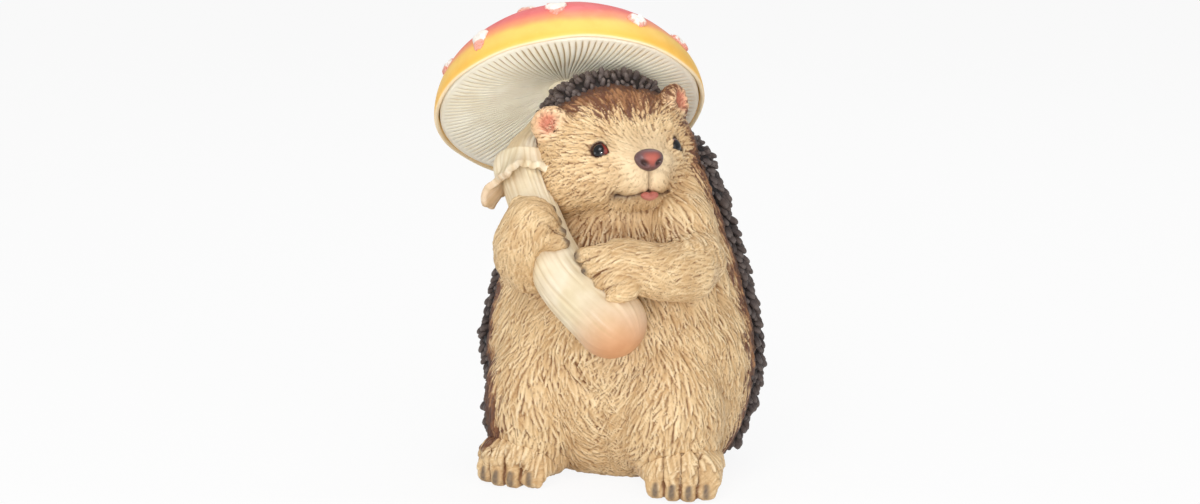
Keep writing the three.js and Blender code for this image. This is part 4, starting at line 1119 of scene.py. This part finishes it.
def ball(name, half, across=64, down=40):
    bm = bmesh.new()
    bmesh.ops.create_uvsphere(bm, u_segments=across, v_segments=down, radius=1.0)
    bmesh.ops.scale(bm, vec=Vector(half), verts=bm.verts)
    return as_mesh(bm, name)


nose = ball("pad_nose", NOSE_HALF)
spot = coordinates(nose)
spot[:, 0] *= 1 + 0.16 * spot[:, 2] / NOSE_HALF[2]
front = ramp(spot[:, 1], 0.5, -3)
across = np.abs(spot[:, 0]) - 3.7
nostril = np.exp(-((across / 1.9) ** 2 + ((spot[:, 2] + 0.9 - 0.35 * across) / 1.25) ** 2)) * front
wing = np.exp(-(((np.abs(spot[:, 0]) - 5.2) / 1.6) ** 2 + ((spot[:, 2] + 0.2) / 3) ** 2)) * front
split = np.exp(-((spot[:, 0] / 0.7) ** 2)) * ramp(spot[:, 2], 1.5, -2.5) * front
spot[:, 1] += 2.6 * nostril - 0.5 * wing + 0.6 * split
nose.vertices.foreach_set("co", spot.ravel())
heart = np.exp(-((spot[:, 0] / 4.2) ** 4 + ((spot[:, 2] - 0.6) / 3.4) ** 4)) * front
point_mask(nose, "heart", np.clip(heart - nostril, 0, 1))
point_mask(nose, "nostril", np.clip(1.25 * nostril, 0, 1))


def nose_color(tree):
    warm = blended(tree, painted(tree, "heart"), swatch(82, 63, 68), swatch(182, 86, 70))
    return blended(tree, painted(tree, "nostril"), warm, swatch(34, 24, 24))


nose_paint = resin("nose_paint", nose_color, swatch(40, 30, 30), 0.0, swatch(190, 130, 115), 0.12, tooth=0.03)
nose_shader = nose_paint.node_tree.nodes["Principled BSDF"]
nose_shader.inputs["Coat Weight"].default_value = 0.5
nose_shader.inputs["Coat Roughness"].default_value = 0.2
finished(nose, nose_paint, head_frame @ Matrix.Translation(NOSE_AT), "nose", "nose")

tongue = ball("lip_tongue", TONGUE_HALF, 40, 24)
spot = coordinates(tongue)
spot[:, 2] -= 0.7 * np.exp(-((spot[:, 0] / 0.8) ** 2)) * ramp(spot[:, 2], -0.5, 0.8)
spot[:, 2] += 0.5 * (spot[:, 0] / TONGUE_HALF[0]) ** 2
tongue.vertices.foreach_set("co", spot.ravel())
point_mask(tongue, "edge", ramp(spot[:, 2], 0.4, -1.8))
lip_paint = resin(
    "lip_paint",
    lambda t: blended(t, painted(t, "edge"), swatch(178, 84, 70), swatch(214, 146, 130)),
    swatch(110, 44, 40), 0.15, swatch(232, 176, 160), 0.2, tooth=0.03,
)
finished(tongue, lip_paint, head_frame @ Matrix.Translation(TONGUE_AT), "tongue", "tongue")
print("nose and tongue set")

# %% [markdown]
# ## Quills
# The back is a casting of thick, blunt quills that overlap like the scales of a cone. Their bed is the skin
# of the back, raised by its distance from the edge. One quill of a few dozen faces is made with a cone, bent
# a little, and repeated over the bed at points that keep their distance, each slightly different.

# %% One quill
QUILL_LONG, QUILL_WIDE, QUILL_THICK = 6.4, 1.8, 1.45
QUILL_BEND, QUILL_ROOT, QUILL_FLOOR = 0.8, 1.5, 1.5  # bend of the tip, depth in the bed, room over the ground
BED_EDGE = 0.25
QUILL_SECTION = [(0, 0.85), (0.45, 1.02), (0.75, 0.92), (0.92, 0.7), (1.0, 0.34)]


def quill_form():
    bm = bmesh.new()
    bmesh.ops.create_cone(bm, cap_ends=True, segments=6, radius1=1.0, radius2=1.0, depth=1.0)
    bmesh.ops.translate(bm, vec=(0, 0, 0.5), verts=bm.verts)
    long_edges = [e for e in bm.edges if abs(e.verts[0].co.z - e.verts[1].co.z) > 0.5]
    bmesh.ops.subdivide_edges(bm, edges=long_edges, cuts=len(QUILL_SECTION) - 2)
    for v in bm.verts:
        place, width = QUILL_SECTION[round(v.co.z * (len(QUILL_SECTION) - 1))]
        across, thick = v.co.x * width * QUILL_WIDE, v.co.y * width * QUILL_THICK
        v.co = (across, thick + QUILL_BEND * place**2, place * QUILL_LONG)
    mesh = as_mesh(bm, "quill")
    point_mask(mesh, "tip", coordinates(mesh)[:, 2] / QUILL_LONG)
    return mesh


def apart(points, room):
    """A random choice of points that keep at least this distance from each other."""
    kept = {}
    cells = np.floor(points / room).astype(int)
    steps = [(a, b, c) for a in (-1, 0, 1) for b in (-1, 0, 1) for c in (-1, 0, 1)]
    chosen = []
    for i in rng.permutation(len(points)):
        cell = tuple(cells[i])
        around = [(cell[0] + a, cell[1] + b, cell[2] + c) for a, b, c in steps]
        if all(np.linalg.norm(points[i] - points[j]) >= room for key in around for j in kept.get(key, ())):
            kept.setdefault(cell, []).append(i)
            chosen.append(i)
    return chosen


# %% Quill beds and quills
# Near black toward the quills' roots and on the bed between them: painted shade. Grey on the tips: partly
# dry-brush, partly a painted highlight.
quill_paint = resin(
    "quill_paint",
    lambda t: blended(t, painted(t, "shade"), swatch(58, 48, 47), swatch(84, 72, 68)),
    swatch(26, 19, 19),
    lambda t: ranged(t, painted(t, "tip"), 0.45, 0.0),
    swatch(132, 120, 114),
    lambda t: sums(t, "MULTIPLY", ranged(t, painted(t, "tip"), 0.5, 1.0), 0.5),
)
head_back = head_rotation @ np.array((0, 1, 0.0))


def cape_way(p):
    return np.array((0.35 * np.sign(p[0]) * min(abs(p[0]) / 40, 1), 0.25, -1.0))


def hood_way(p):
    return head_back - np.array((0, 0, 0.25))


def quilled(name, k, way_at, room, stand, size):
    """The bed on one casting, with quills all over it."""
    bm = bmesh.new()
    bm.from_mesh(coat_mesh)
    layers = bm.verts.layers
    owner, inside, raised = layers.int["casting"], layers.float["inset"], layers.float_vector["bed_at"]
    strange = [
        f for f in bm.faces
        if min(v[owner] for v in f.verts) != k or min(v[inside] for v in f.verts) < BED_EDGE
    ]
    bmesh.ops.delete(bm, geom=strange, context="FACES")
    for v in bm.verts:
        v.co = v[raised]
    smoothed(bm, bm.verts[:], 3)
    bm.normal_update()
    points = figure_mm([v.co for v in bm.verts])
    outward = np.array([v.normal for v in bm.verts])
    depth = np.array([v[inside] for v in bm.verts])
    closed(bm)
    for mask in ("tip", "shade"):
        layers.float.new(mask)
    template = quill_form()
    roots = apart(points, room)
    for i in roots:
        up = Vector(outward[i])
        way = Vector(way_at(points[i])) + Vector(rng.normal(0, 0.2, 3))
        way = (way - up * way.dot(up)).normalized()
        rise = stand + rng.normal(0, 0.12)
        point = way * math.cos(rise) + up * math.sin(rise)
        across = point.cross(up).normalized()
        over = point.cross(across)
        scale = size * rng.uniform(0.8, 1.2) * (0.72 + 0.28 * float(ramp(depth[i], 0, 6)))
        if points[i][2] + scale * QUILL_LONG * point.z < QUILL_FLOOR:
            continue
        turn = Matrix((across, over, point)).transposed().to_4x4()
        seat = Matrix.Translation(Vector(points[i]) - up * QUILL_ROOT) @ turn @ Matrix.Scale(scale, 4)
        quill = template.copy()
        quill.transform(figure_frame @ seat)
        tone = rng.random()
        point_mask(quill, "shade", [tone] * len(quill.vertices))
        bm.from_mesh(quill)
        bpy.data.meshes.remove(quill)
    mesh = as_mesh(bm, name)
    print(name, len(roots), "places for quills,", triangles(mesh), "triangles")
    return mesh


for piece, node_name, k, way_at, room, stand, size in (
    ("quills_cape", "quill_cape", TORSO, cape_way, 3.2, 0.62, 1.06),
    ("quills_hood", "quill_hood", HEAD, hood_way, 2.6, 0.85, 0.86),
):
    quill_mesh = quilled(piece, k, way_at, room, stand, size)
    stripped(quill_mesh, (*masks, *WORK_ATTRIBUTES))
    quill_mesh.shade_smooth()
    quill_mesh.materials.append(quill_paint)
    shown_piece(held(quill_mesh, piece), "quills", node_name)

# %% [markdown]
# ## Toadstool stem
# The stem curves from the peach bulb in the lap, past the cheek, to the middle of the cap. It is a grid
# rolled along the same smooth curve that the CAD stem follows. Its surface has fine lengthwise ridges, like
# the fibres of a real stem, which come from waves round the section that drift along the length.

# %% Stem
STEM_POINTS = [
    (12.5, -67.11, 88), (-13.5, -58.22, 107), (-32, -44.54, 136.5), (-45, -24, 156),
    (-44, 8, 168), (-33.46, 25.8, 172.52), (-37.98, 36.45, 186.31),
]
STEM_RADII = [17, 14, 11, 11, 7.8, 9, 9]
STEM_PIECES = len(STEM_POINTS) - 1
BULB_SHARE, STEM_STEPS, STEM_NUDGE = 0.12, 120, 0.004


def stem_middle(share):
    """The curve through the stem's points, as the CAD source draws it."""
    points = [Vector(p) for p in STEM_POINTS]
    points = [2 * points[0] - points[1], *points, 2 * points[-1] - points[-2]]
    at = min(max(share, 0), 1) * STEM_PIECES
    k = min(int(at), STEM_PIECES - 1)
    t = at - k
    before, start, end, after = points[k : k + 4]
    first, mid, last = (math.sqrt((b - a).length) for a, b in ((before, start), (start, end), (end, after)))
    leave = ((start - before) / first - (end - before) / (first + mid) + (end - start) / mid) * mid
    arrive = ((end - start) / mid - (after - start) / (mid + last) + (after - end) / last) * mid
    return (
        start
        + leave * t
        + (-3 * start + 3 * end - 2 * leave - arrive) * t**2
        + (2 * start - 2 * end + leave + arrive) * t**3
    )


def stem_way(share):
    return (stem_middle(share + STEM_NUDGE) - stem_middle(share - STEM_NUDGE)).normalized()


stem_stations = np.linspace(0, 1, STEM_STEPS + 1)
stem_middles = [stem_middle(s) for s in stem_stations]
stem_frames = []
across = Vector((0, 0, 1))
for s in stem_stations:
    way = stem_way(min(max(s, STEM_NUDGE), 1 - STEM_NUDGE))
    across = (across - way * across.dot(way)).normalized()
    stem_frames.append((way, across.copy(), way.cross(across)))
ridge_waves = [
    (int(rng.integers(9, 46)), rng.uniform(0, 6.3), rng.uniform(-5, 5), rng.uniform(0.4, 1))
    for _ in range(16)
]  # count round the stem, phase, drift and height


def stem_ridges(turn, share):
    total = sum(h * math.sin(n * turn + p + d * share * 6) for n, p, d, h in ridge_waves)
    return total / 6


def stem_place(turn, share):
    """Points from the round end of the bulb to the top under the cap."""
    angle = 2 * math.pi * turn
    along = max(share - BULB_SHARE, 0) / (1 - BULB_SHARE)
    k = min(int(round(along * STEM_STEPS)), STEM_STEPS)
    radius = float(np.interp(along * STEM_PIECES, range(STEM_PIECES + 1), STEM_RADII))
    ahead = 0.0
    if share < BULB_SHARE:
        lift = (1 - share / BULB_SHARE) * math.pi / 2
        ahead, radius = -radius * math.sin(lift), radius * math.cos(lift)
    radius += 0.45 * stem_ridges(angle, along) * min(share / BULB_SHARE, 1)
    radius -= 1.6 * bell(along - 0.59, 0.07)
    radius += 1.6 * ramp(np.array(along), 0.86, 1.0)
    way, side, other = stem_frames[k]
    behind_cheek = Vector((3.4, 0.4, 0)) * bell(along - 0.6, 0.14)
    out = (side * math.cos(angle) + other * math.sin(angle)) * radius
    return stem_middles[k] + behind_cheek + way * ahead + out


stem = rolled("stem_toadstool", 150, 134, stem_place, close_ends=True)
spot = coordinates(stem)
to_bulb = np.linalg.norm(spot - np.array((17, -72, 80)), axis=1)
chain = np.array(stem_middles)
nearest_station = np.array([np.argmin(np.sum((chain - p) ** 2, axis=1)) for p in spot])
from_middle = np.linalg.norm(spot - chain[nearest_station], axis=1)
smooth_radius = np.interp(stem_stations[nearest_station] * STEM_PIECES, range(STEM_PIECES + 1), STEM_RADII)
point_mask(stem, "ridge", np.clip((from_middle - smooth_radius) / 0.5, -1, 1))
point_mask(stem, "peach", ramp(to_bulb, 27, 7))


def stem_color(tree):
    patches = ranged(tree, cloud(tree, 60), 0.35, 0.7)
    pale = blended(tree, patches, swatch(236, 222, 195), swatch(226, 209, 174))
    return blended(tree, painted(tree, "peach"), pale, swatch(216, 158, 112))


# Darker in the grooves between the stem's fibres and lighter on their ridges: painted shade and a painted
# highlight from the relief, which also darken the narrowing behind the cheek and lighten the flare under the
# cap. On the ring the same masks make a striped pattern.
stem_paint = resin(
    "stem_paint",
    stem_color,
    swatch(196, 168, 122),
    lambda t: ranged(t, painted(t, "ridge"), 0.0, -0.9, 0.0, 0.5),
    swatch(253, 248, 232),
    lambda t: ranged(t, painted(t, "ridge"), 0.2, 0.9, 0.0, 0.5),
    blotch=0.25,
)
finished(stem, stem_paint, Matrix.Identity(4), "stem", "stem")
print("stem:", len(stem.polygons), "faces")

# %% [markdown]
# ## Ring
# The ring is the torn skirt under the cap: a thick, ragged frill that hangs round the stem and folds over
# on the outer side. A grid is rolled round the stem with the frill's waves in it, Solidify gives the wall,
# and a subdivision rounds the folds.

# %% Ring
RING_SHARE = 0.49
STEM_THICK, RING_WALL = 11.4, 3.6
RING_SHIFT = Vector((2.4, 0.4, -1.2))
RING_STEPS, FLAP_AT = 96, 200
ring_middle, ring_way = stem_middle(RING_SHARE), stem_way(RING_SHARE)
plumb = Vector((0, 0, 1))
ring_turn = plumb.rotation_difference(ring_way.lerp(plumb, 0.5)).to_matrix().to_4x4()
ring_frame = Matrix.Translation(ring_middle + RING_SHIFT) @ ring_turn
stem_across = ring_turn.to_3x3().inverted() @ ring_way
torn = rng.normal(0, 1, RING_STEPS + 1)
torn[-1] = torn[0]


def ring_place(turn, share):
    """A frill from its root on the slanting stem to its torn lip."""
    angle = 2 * math.pi * turn
    out = Vector((math.cos(angle), math.sin(angle), 0))
    flap = max(0.0, math.cos(angle - math.radians(FLAP_AT))) ** 3
    tear = float(np.interp(turn * RING_STEPS, range(RING_STEPS + 1), torn))
    root = STEM_THICK / math.sqrt(1 - out.dot(stem_across) ** 2)
    drop = 9.0 + 13 * flap + 1.6 * math.sin(7 * angle + 1) + 1.5 * tear * share**2
    flare = 9.0 - 4.0 * flap + 2.3 * math.sin(7 * angle) + 1.3 * math.sin(13 * angle + 2)
    curl = 2.2 * max(share - 0.75, 0) * 4 * (0.5 + 0.5 * math.sin(5 * angle))
    radius = root + flare * share**1.3 + 2 * flap * math.sin(share * 8)
    height = 4.5 * (1 - share) ** 2 - drop * share**1.15 + curl
    return out * radius + Vector((0, 0, height))


ring = rolled("ring_stem", RING_STEPS, 14, ring_place)
ring_at = coordinates(ring)
point_mask(ring, "ridge", np.clip(np.sin(np.arctan2(ring_at[:, 1], ring_at[:, 0]) * 30) * 0.7, -1, 1))
point_mask(ring, "peach", 0.35 * ramp(ring_at[:, 2], -8, -16))
ring_piece = finished(ring, stem_paint, ring_frame, "stem", "stem_ring")
wall = ring_piece.modifiers.new("wall", "SOLIDIFY")
wall.thickness = RING_WALL * MM
wall.offset = 0
wall.use_rim = True
soft = ring_piece.modifiers.new("soft", "SUBSURF")
soft.levels = soft.render_levels = 1
print("ring:", len(ring.polygons), "faces before its wall")

# %% [markdown]
# ## Cap
# The cap is a domed shell, yellow at the rim and coral red on top, where the two colours run into each
# other. Its section is drawn once and spun round the axis, inside and outside, so it is one closed shell.
# Slow waves keep it from looking machined.

# %% Cap
CAP_RADIUS, CAP_HEIGHT, CAP_WALL = 69.0, 46.0, 7.0
GILL_RADIUS, GILL_PLATE, GILL_DISH = 66.0, 4.0, 12.0


def spun(name, section, steps):
    """A closed section of (radius, height) points, spun round the Z axis."""
    bm = bmesh.new()
    verts = [bm.verts.new((radius, 0, height)) for radius, height in section]
    ring_edges = [bm.edges.new((a, b)) for a, b in zip(verts, verts[1:])]
    if section[0][0] > 1e-6:
        ring_edges.append(bm.edges.new((verts[-1], verts[0])))
    bmesh.ops.spin(
        bm, geom=verts + ring_edges, axis=(0, 0, 1), cent=(0, 0, 0),
        steps=steps, angle=2 * math.pi, use_merge=True,
    )
    bmesh.ops.remove_doubles(bm, verts=bm.verts, dist=1e-4)
    bmesh.ops.recalc_face_normals(bm, faces=bm.faces)
    return as_mesh(bm, name)


def dome_height(radius, grow=0.0):
    """Height of the dome over a distance from the axis."""
    share = np.clip(np.asarray(radius, float) / (CAP_RADIUS + grow), 0, 1)
    return (CAP_HEIGHT + grow) * np.sqrt(1 - share**2)


def dome_section(grow, first, last, pieces):
    lifts = np.radians(np.linspace(first, last, pieces))
    return [((CAP_RADIUS + grow) * math.cos(a), (CAP_HEIGHT + grow) * math.sin(a)) for a in lifts]


cap_section = (
    [(0, CAP_HEIGHT), *reversed(dome_section(0, 0, 88, 44))]
    + [(68.6, -0.9), (67.6, -1.2), (66.8, -0.4), (66.8, GILL_PLATE + 0.5)]
    + dome_section(-CAP_WALL, 12, 88, 14)
    + [(0, CAP_HEIGHT - CAP_WALL)]
)
cap = spun("cap_toadstool", cap_section, 160)
spot = coordinates(cap)
angle = np.arctan2(spot[:, 1], spot[:, 0])
outer = ramp(np.hypot(spot[:, 0], spot[:, 1]), 30, 66)
wave = 0.9 * np.sin(3 * angle + 0.5) + 0.6 * np.sin(5 * angle + 2) + 0.35 * np.sin(11 * angle)
lip = ramp(spot[:, 2], 0.2, -0.8)
spot[:, 2] += 0.55 * wave * outer
cap.vertices.foreach_set("co", spot.ravel())
point_mask(cap, "lip", lip)
point_mask(cap, "rise", spot[:, 2] / CAP_HEIGHT + 0.03 * wave)


def cap_color(tree):
    place = sums(tree, "ADD", painted(tree, "rise"), sums(tree, "MULTIPLY", cloud(tree, 35), 0.16))
    warm = blended(tree, ranged(tree, place, 0.08, 0.24), swatch(250, 194, 82), swatch(252, 206, 106))
    warm = blended(tree, ranged(tree, place, 0.27, 0.4), warm, swatch(249, 160, 110))
    top = blended(tree, ranged(tree, place, 0.36, 0.58), warm, swatch(241, 114, 114))
    return blended(tree, painted(tree, "lip"), top, swatch(250, 226, 186))


cap_paint = resin(
    "cap_paint", cap_color, swatch(206, 120, 46), 0.0, swatch(255, 226, 150),
    lambda t: ranged(t, cloud(t, 500), 0.6, 0.75, 0.0, 0.1), blotch=0.15,
)
cap_paint.node_tree.nodes["Principled BSDF"].inputs["Coat Weight"].default_value = 0.15
finished(cap, cap_paint, cap_frame, "cap", "cap")
print("cap:", len(cap.polygons), "faces")

# %% [markdown]
# ## Gills
# Under the cap, thin gills run from the stem to the rim, and shorter ones start between them as the circle
# widens. The dished plate is spun with several steps to each gill, and every point is then lifted into a
# groove or left on a gill's edge. The gills sway a little, so no two are quite parallel.

# %% Gills
GILLS, GILL_STEPS = 116, 9
GILL_HOLE, GILL_DEPTH, GROOVE_HALF = 9.6, 2.0, 0.15
flat_share = (GILL_RADIUS - CAP_WALL - GILL_HOLE) / (GILL_RADIUS - GILL_HOLE)


def dish(share):
    return GILL_DISH * np.maximum(0, 1 - share / flat_share) ** 1.5


def gill_radius(share):
    return GILL_HOLE + (GILL_RADIUS - GILL_HOLE) * share


gill_shares = np.linspace(0, 1, 26)
gill_section = [(gill_radius(s), float(dish(s))) for s in gill_shares]
gill_section += [(gill_radius(s), float(dish(s)) + GILL_PLATE + 0.2) for s in (1, flat_share, 0.5, 0.2, 0)]
gills = spun("gills_toadstool", gill_section, GILLS * GILL_STEPS)
spot = coordinates(gills)
radius = np.hypot(spot[:, 0], spot[:, 1])
angle = np.arctan2(spot[:, 1], spot[:, 0])
share = np.clip((radius - GILL_HOLE) / (GILL_RADIUS - GILL_HOLE), 0, 1)
under = spot[:, 2] < dish(share) + GILL_PLATE / 2
sway = 0.012 * np.sin(3 * angle + 5 * share) + 0.008 * np.sin(7 * angle - 4 * share)
place = (angle + sway) / (2 * math.pi) * GILLS
from_groove = np.abs(place - np.round(place))
every_other = np.round(place).astype(int) % 2
starts_at = 0.18 + 0.1 * np.sin(2.4 * np.round(place))
here = np.where(every_other, ramp(share, starts_at, starts_at + 0.2), 1.0) * ramp(share, 0.975, 0.9)
groove = bell(from_groove, GROOVE_HALF) * here
depth = GILL_DEPTH * (0.3 + share * (1.2 - share))
spot[:, 2] += np.where(under, groove * depth, 0)
gills.vertices.foreach_set("co", spot.ravel())
point_mask(gills, "groove", np.where(under, groove, 0))
blush = 0.5 * ramp(share, 0.72, 1.0) * (0.5 + 0.5 * np.sin(angle + 1))
point_mask(gills, "peach", np.where(under, blush, 0))


def gill_color(tree):
    patches = ranged(tree, cloud(tree, 40), 0.35, 0.65)
    pale = blended(tree, patches, swatch(255, 250, 230), swatch(248, 240, 214))
    return blended(tree, painted(tree, "peach"), pale, swatch(246, 212, 186))


# Darker in the grooves between the gills: painted shade.
gill_paint = resin(
    "gill_paint",
    gill_color,
    swatch(178, 146, 98),
    lambda t: ranged(t, painted(t, "groove"), 0.3, 0.9, 0.0, 0.85),
    swatch(250, 244, 228),
    lambda t: ranged(t, painted(t, "groove"), 0.25, 0.0, 0.0, 0.6),
    blotch=0.3,
)
finished(gills, gill_paint, cap_frame, "gills", "gill_disc")
print("gills:", len(gills.polygons), "faces")

# %% [markdown]
# ## Warts
# White flakes of the torn veil sit on the dome, with ragged edges that the red paint has caught. Each starts
# as a disc with a few rings, gets an uneven outline and a bumpy top, and is laid on the dome's curve.

# %% Warts
WART_RINGS = [(1, 4, 0, 0.13), (5, 34, 20, 0.116), (5, 62, 44, 0.098), (5, 72, 8, 0.09)]
WART_SECTION = [(1.0, -1.2), (1.02, 0.4), (0.97, 1.1), (0.82, 1.7), (0.55, 2.0), (0.3, 1.9), (0.0, 2.0)]
WART_SIDES, WART_SCALE, DOME_END = 40, 0.8, 0.995


def dome_normal(at):
    return Vector((at.x / CAP_RADIUS**2, at.y / CAP_RADIUS**2, at.z / CAP_HEIGHT**2)).normalized()


def wart(name, down, turn, size):
    out = CAP_RADIUS * math.cos(math.radians(90 - down))
    up = CAP_HEIGHT * math.sin(math.radians(90 - down))
    at = Vector((out * math.cos(turn), out * math.sin(turn), up))
    normal = dome_normal(at)
    side = normal.cross(Vector((-math.sin(turn), math.cos(turn), 0)))
    other = normal.cross(side)
    bumps = rng.uniform(0, 6.3, 5)
    teeth = rng.normal(0, 0.07, WART_SIDES)

    def place(around, share):
        angle = 2 * math.pi * around
        spread_at = share * (len(WART_SECTION) - 1)
        reach = float(np.interp(spread_at, range(len(WART_SECTION)), [p[0] for p in WART_SECTION]))
        lift = float(np.interp(spread_at, range(len(WART_SECTION)), [p[1] for p in WART_SECTION]))
        uneven = 1 + 0.17 * math.sin(2 * angle + bumps[0]) + 0.12 * math.sin(3 * angle + bumps[1])
        uneven += float(teeth[int(around * WART_SIDES) % WART_SIDES]) * min(1, 3 * reach)
        waves = 0.35 * math.sin(4 * angle + bumps[2]) * reach * (lift > 0)
        lift += waves + 0.3 * math.sin(6 * reach + bumps[3]) * (lift > 1)
        flat = at + (side * math.cos(angle) + other * math.sin(angle)) * size * reach * uneven
        radius = math.hypot(flat.x, flat.y)
        on_dome = Vector((flat.x, flat.y, float(dome_height(min(radius, CAP_RADIUS * DOME_END)))))
        return on_dome + dome_normal(on_dome) * (lift + 0.15)

    mesh = rolled(name, WART_SIDES, 12, place, close_ends=True)
    local = coordinates(mesh)
    over = np.hypot(local[:, 0], local[:, 1])
    height = local[:, 2] - dome_height(np.minimum(over, CAP_RADIUS * DOME_END))
    point_mask(mesh, "height", height)
    point_mask(mesh, "from_middle", np.linalg.norm(local - np.array(at), axis=1) / size)
    return mesh


def wart_color(tree):
    """White flakes whose torn edges have caught the red."""
    ragged = sums(tree, "ADD", painted(tree, "from_middle"), sums(tree, "MULTIPLY", cloud(tree, 420), 0.6))
    low = ranged(tree, painted(tree, "height"), 1.0, 0.3)
    caught = sums(tree, "MAXIMUM", low, ranged(tree, ragged, 1.2, 1.42))
    return blended(tree, caught, swatch(248, 242, 232), swatch(226, 112, 70))


wart_paint = resin(
    "wart_paint",
    wart_color,
    swatch(214, 150, 120), 0.0, swatch(255, 253, 248), 0.3, blotch=0.3, tooth=0.12,
)
wart_number = 0
for around, down, first, size in WART_RINGS:
    for k in range(around):
        wart_number += 1
        turn = math.radians(first + 360 * k / around)
        flake_size = WART_SCALE * size * CAP_RADIUS * (1 - 0.12 * (k % 3))
        flake = wart(f"flake_wart_{wart_number}", down, turn, flake_size)
        finished(flake, wart_paint, cap_frame, "warts", f"wart_{wart_number}")
print(wart_number, "warts")

# %% [markdown]
# ## What stays from the frame
# The steel dowels are inside the glued joints and the rubber plug closes the pour hole. Their CAD shapes are
# right as they are, so they only get materials: brushed steel with fine scratches along the rod, and
# dull rubber with a dusty bloom.

# %% Dowels and plug
dowel_steel, steel_tree, steel_shader = material_of("dowel_steel")
scratch = cloud(steel_tree, 900, 4.0, stretch=(1.0, 1.0, 0.05))
steel_color = blended(steel_tree, scratch, swatch(150, 154, 158), swatch(196, 200, 204))
feed(steel_tree, steel_shader.inputs["Base Color"], steel_color)
feed(steel_tree, steel_shader.inputs["Roughness"], ranged(steel_tree, scratch, 0.3, 0.7, 0.25, 0.45))
steel_shader.inputs["Metallic"].default_value = 1.0
plug_rubber = resin(
    "plug_rubber", swatch(44, 43, 42), swatch(20, 20, 20), 0.1, swatch(92, 90, 86),
    lambda t: ranged(t, cloud(t, 220), 0.5, 0.75, 0.0, 0.5), tooth=0.15,
)
for name, finish in [(n, dowel_steel) for n in solids if "dowel" in n] + [("base_plug", plug_rubber)]:
    solids[name].data.materials.clear()
    solids[name].data.materials.append(finish)

# %% Size and finish
low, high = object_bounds()
print("visual box in mm:", [round(v / MM, 1) for v in high - low])
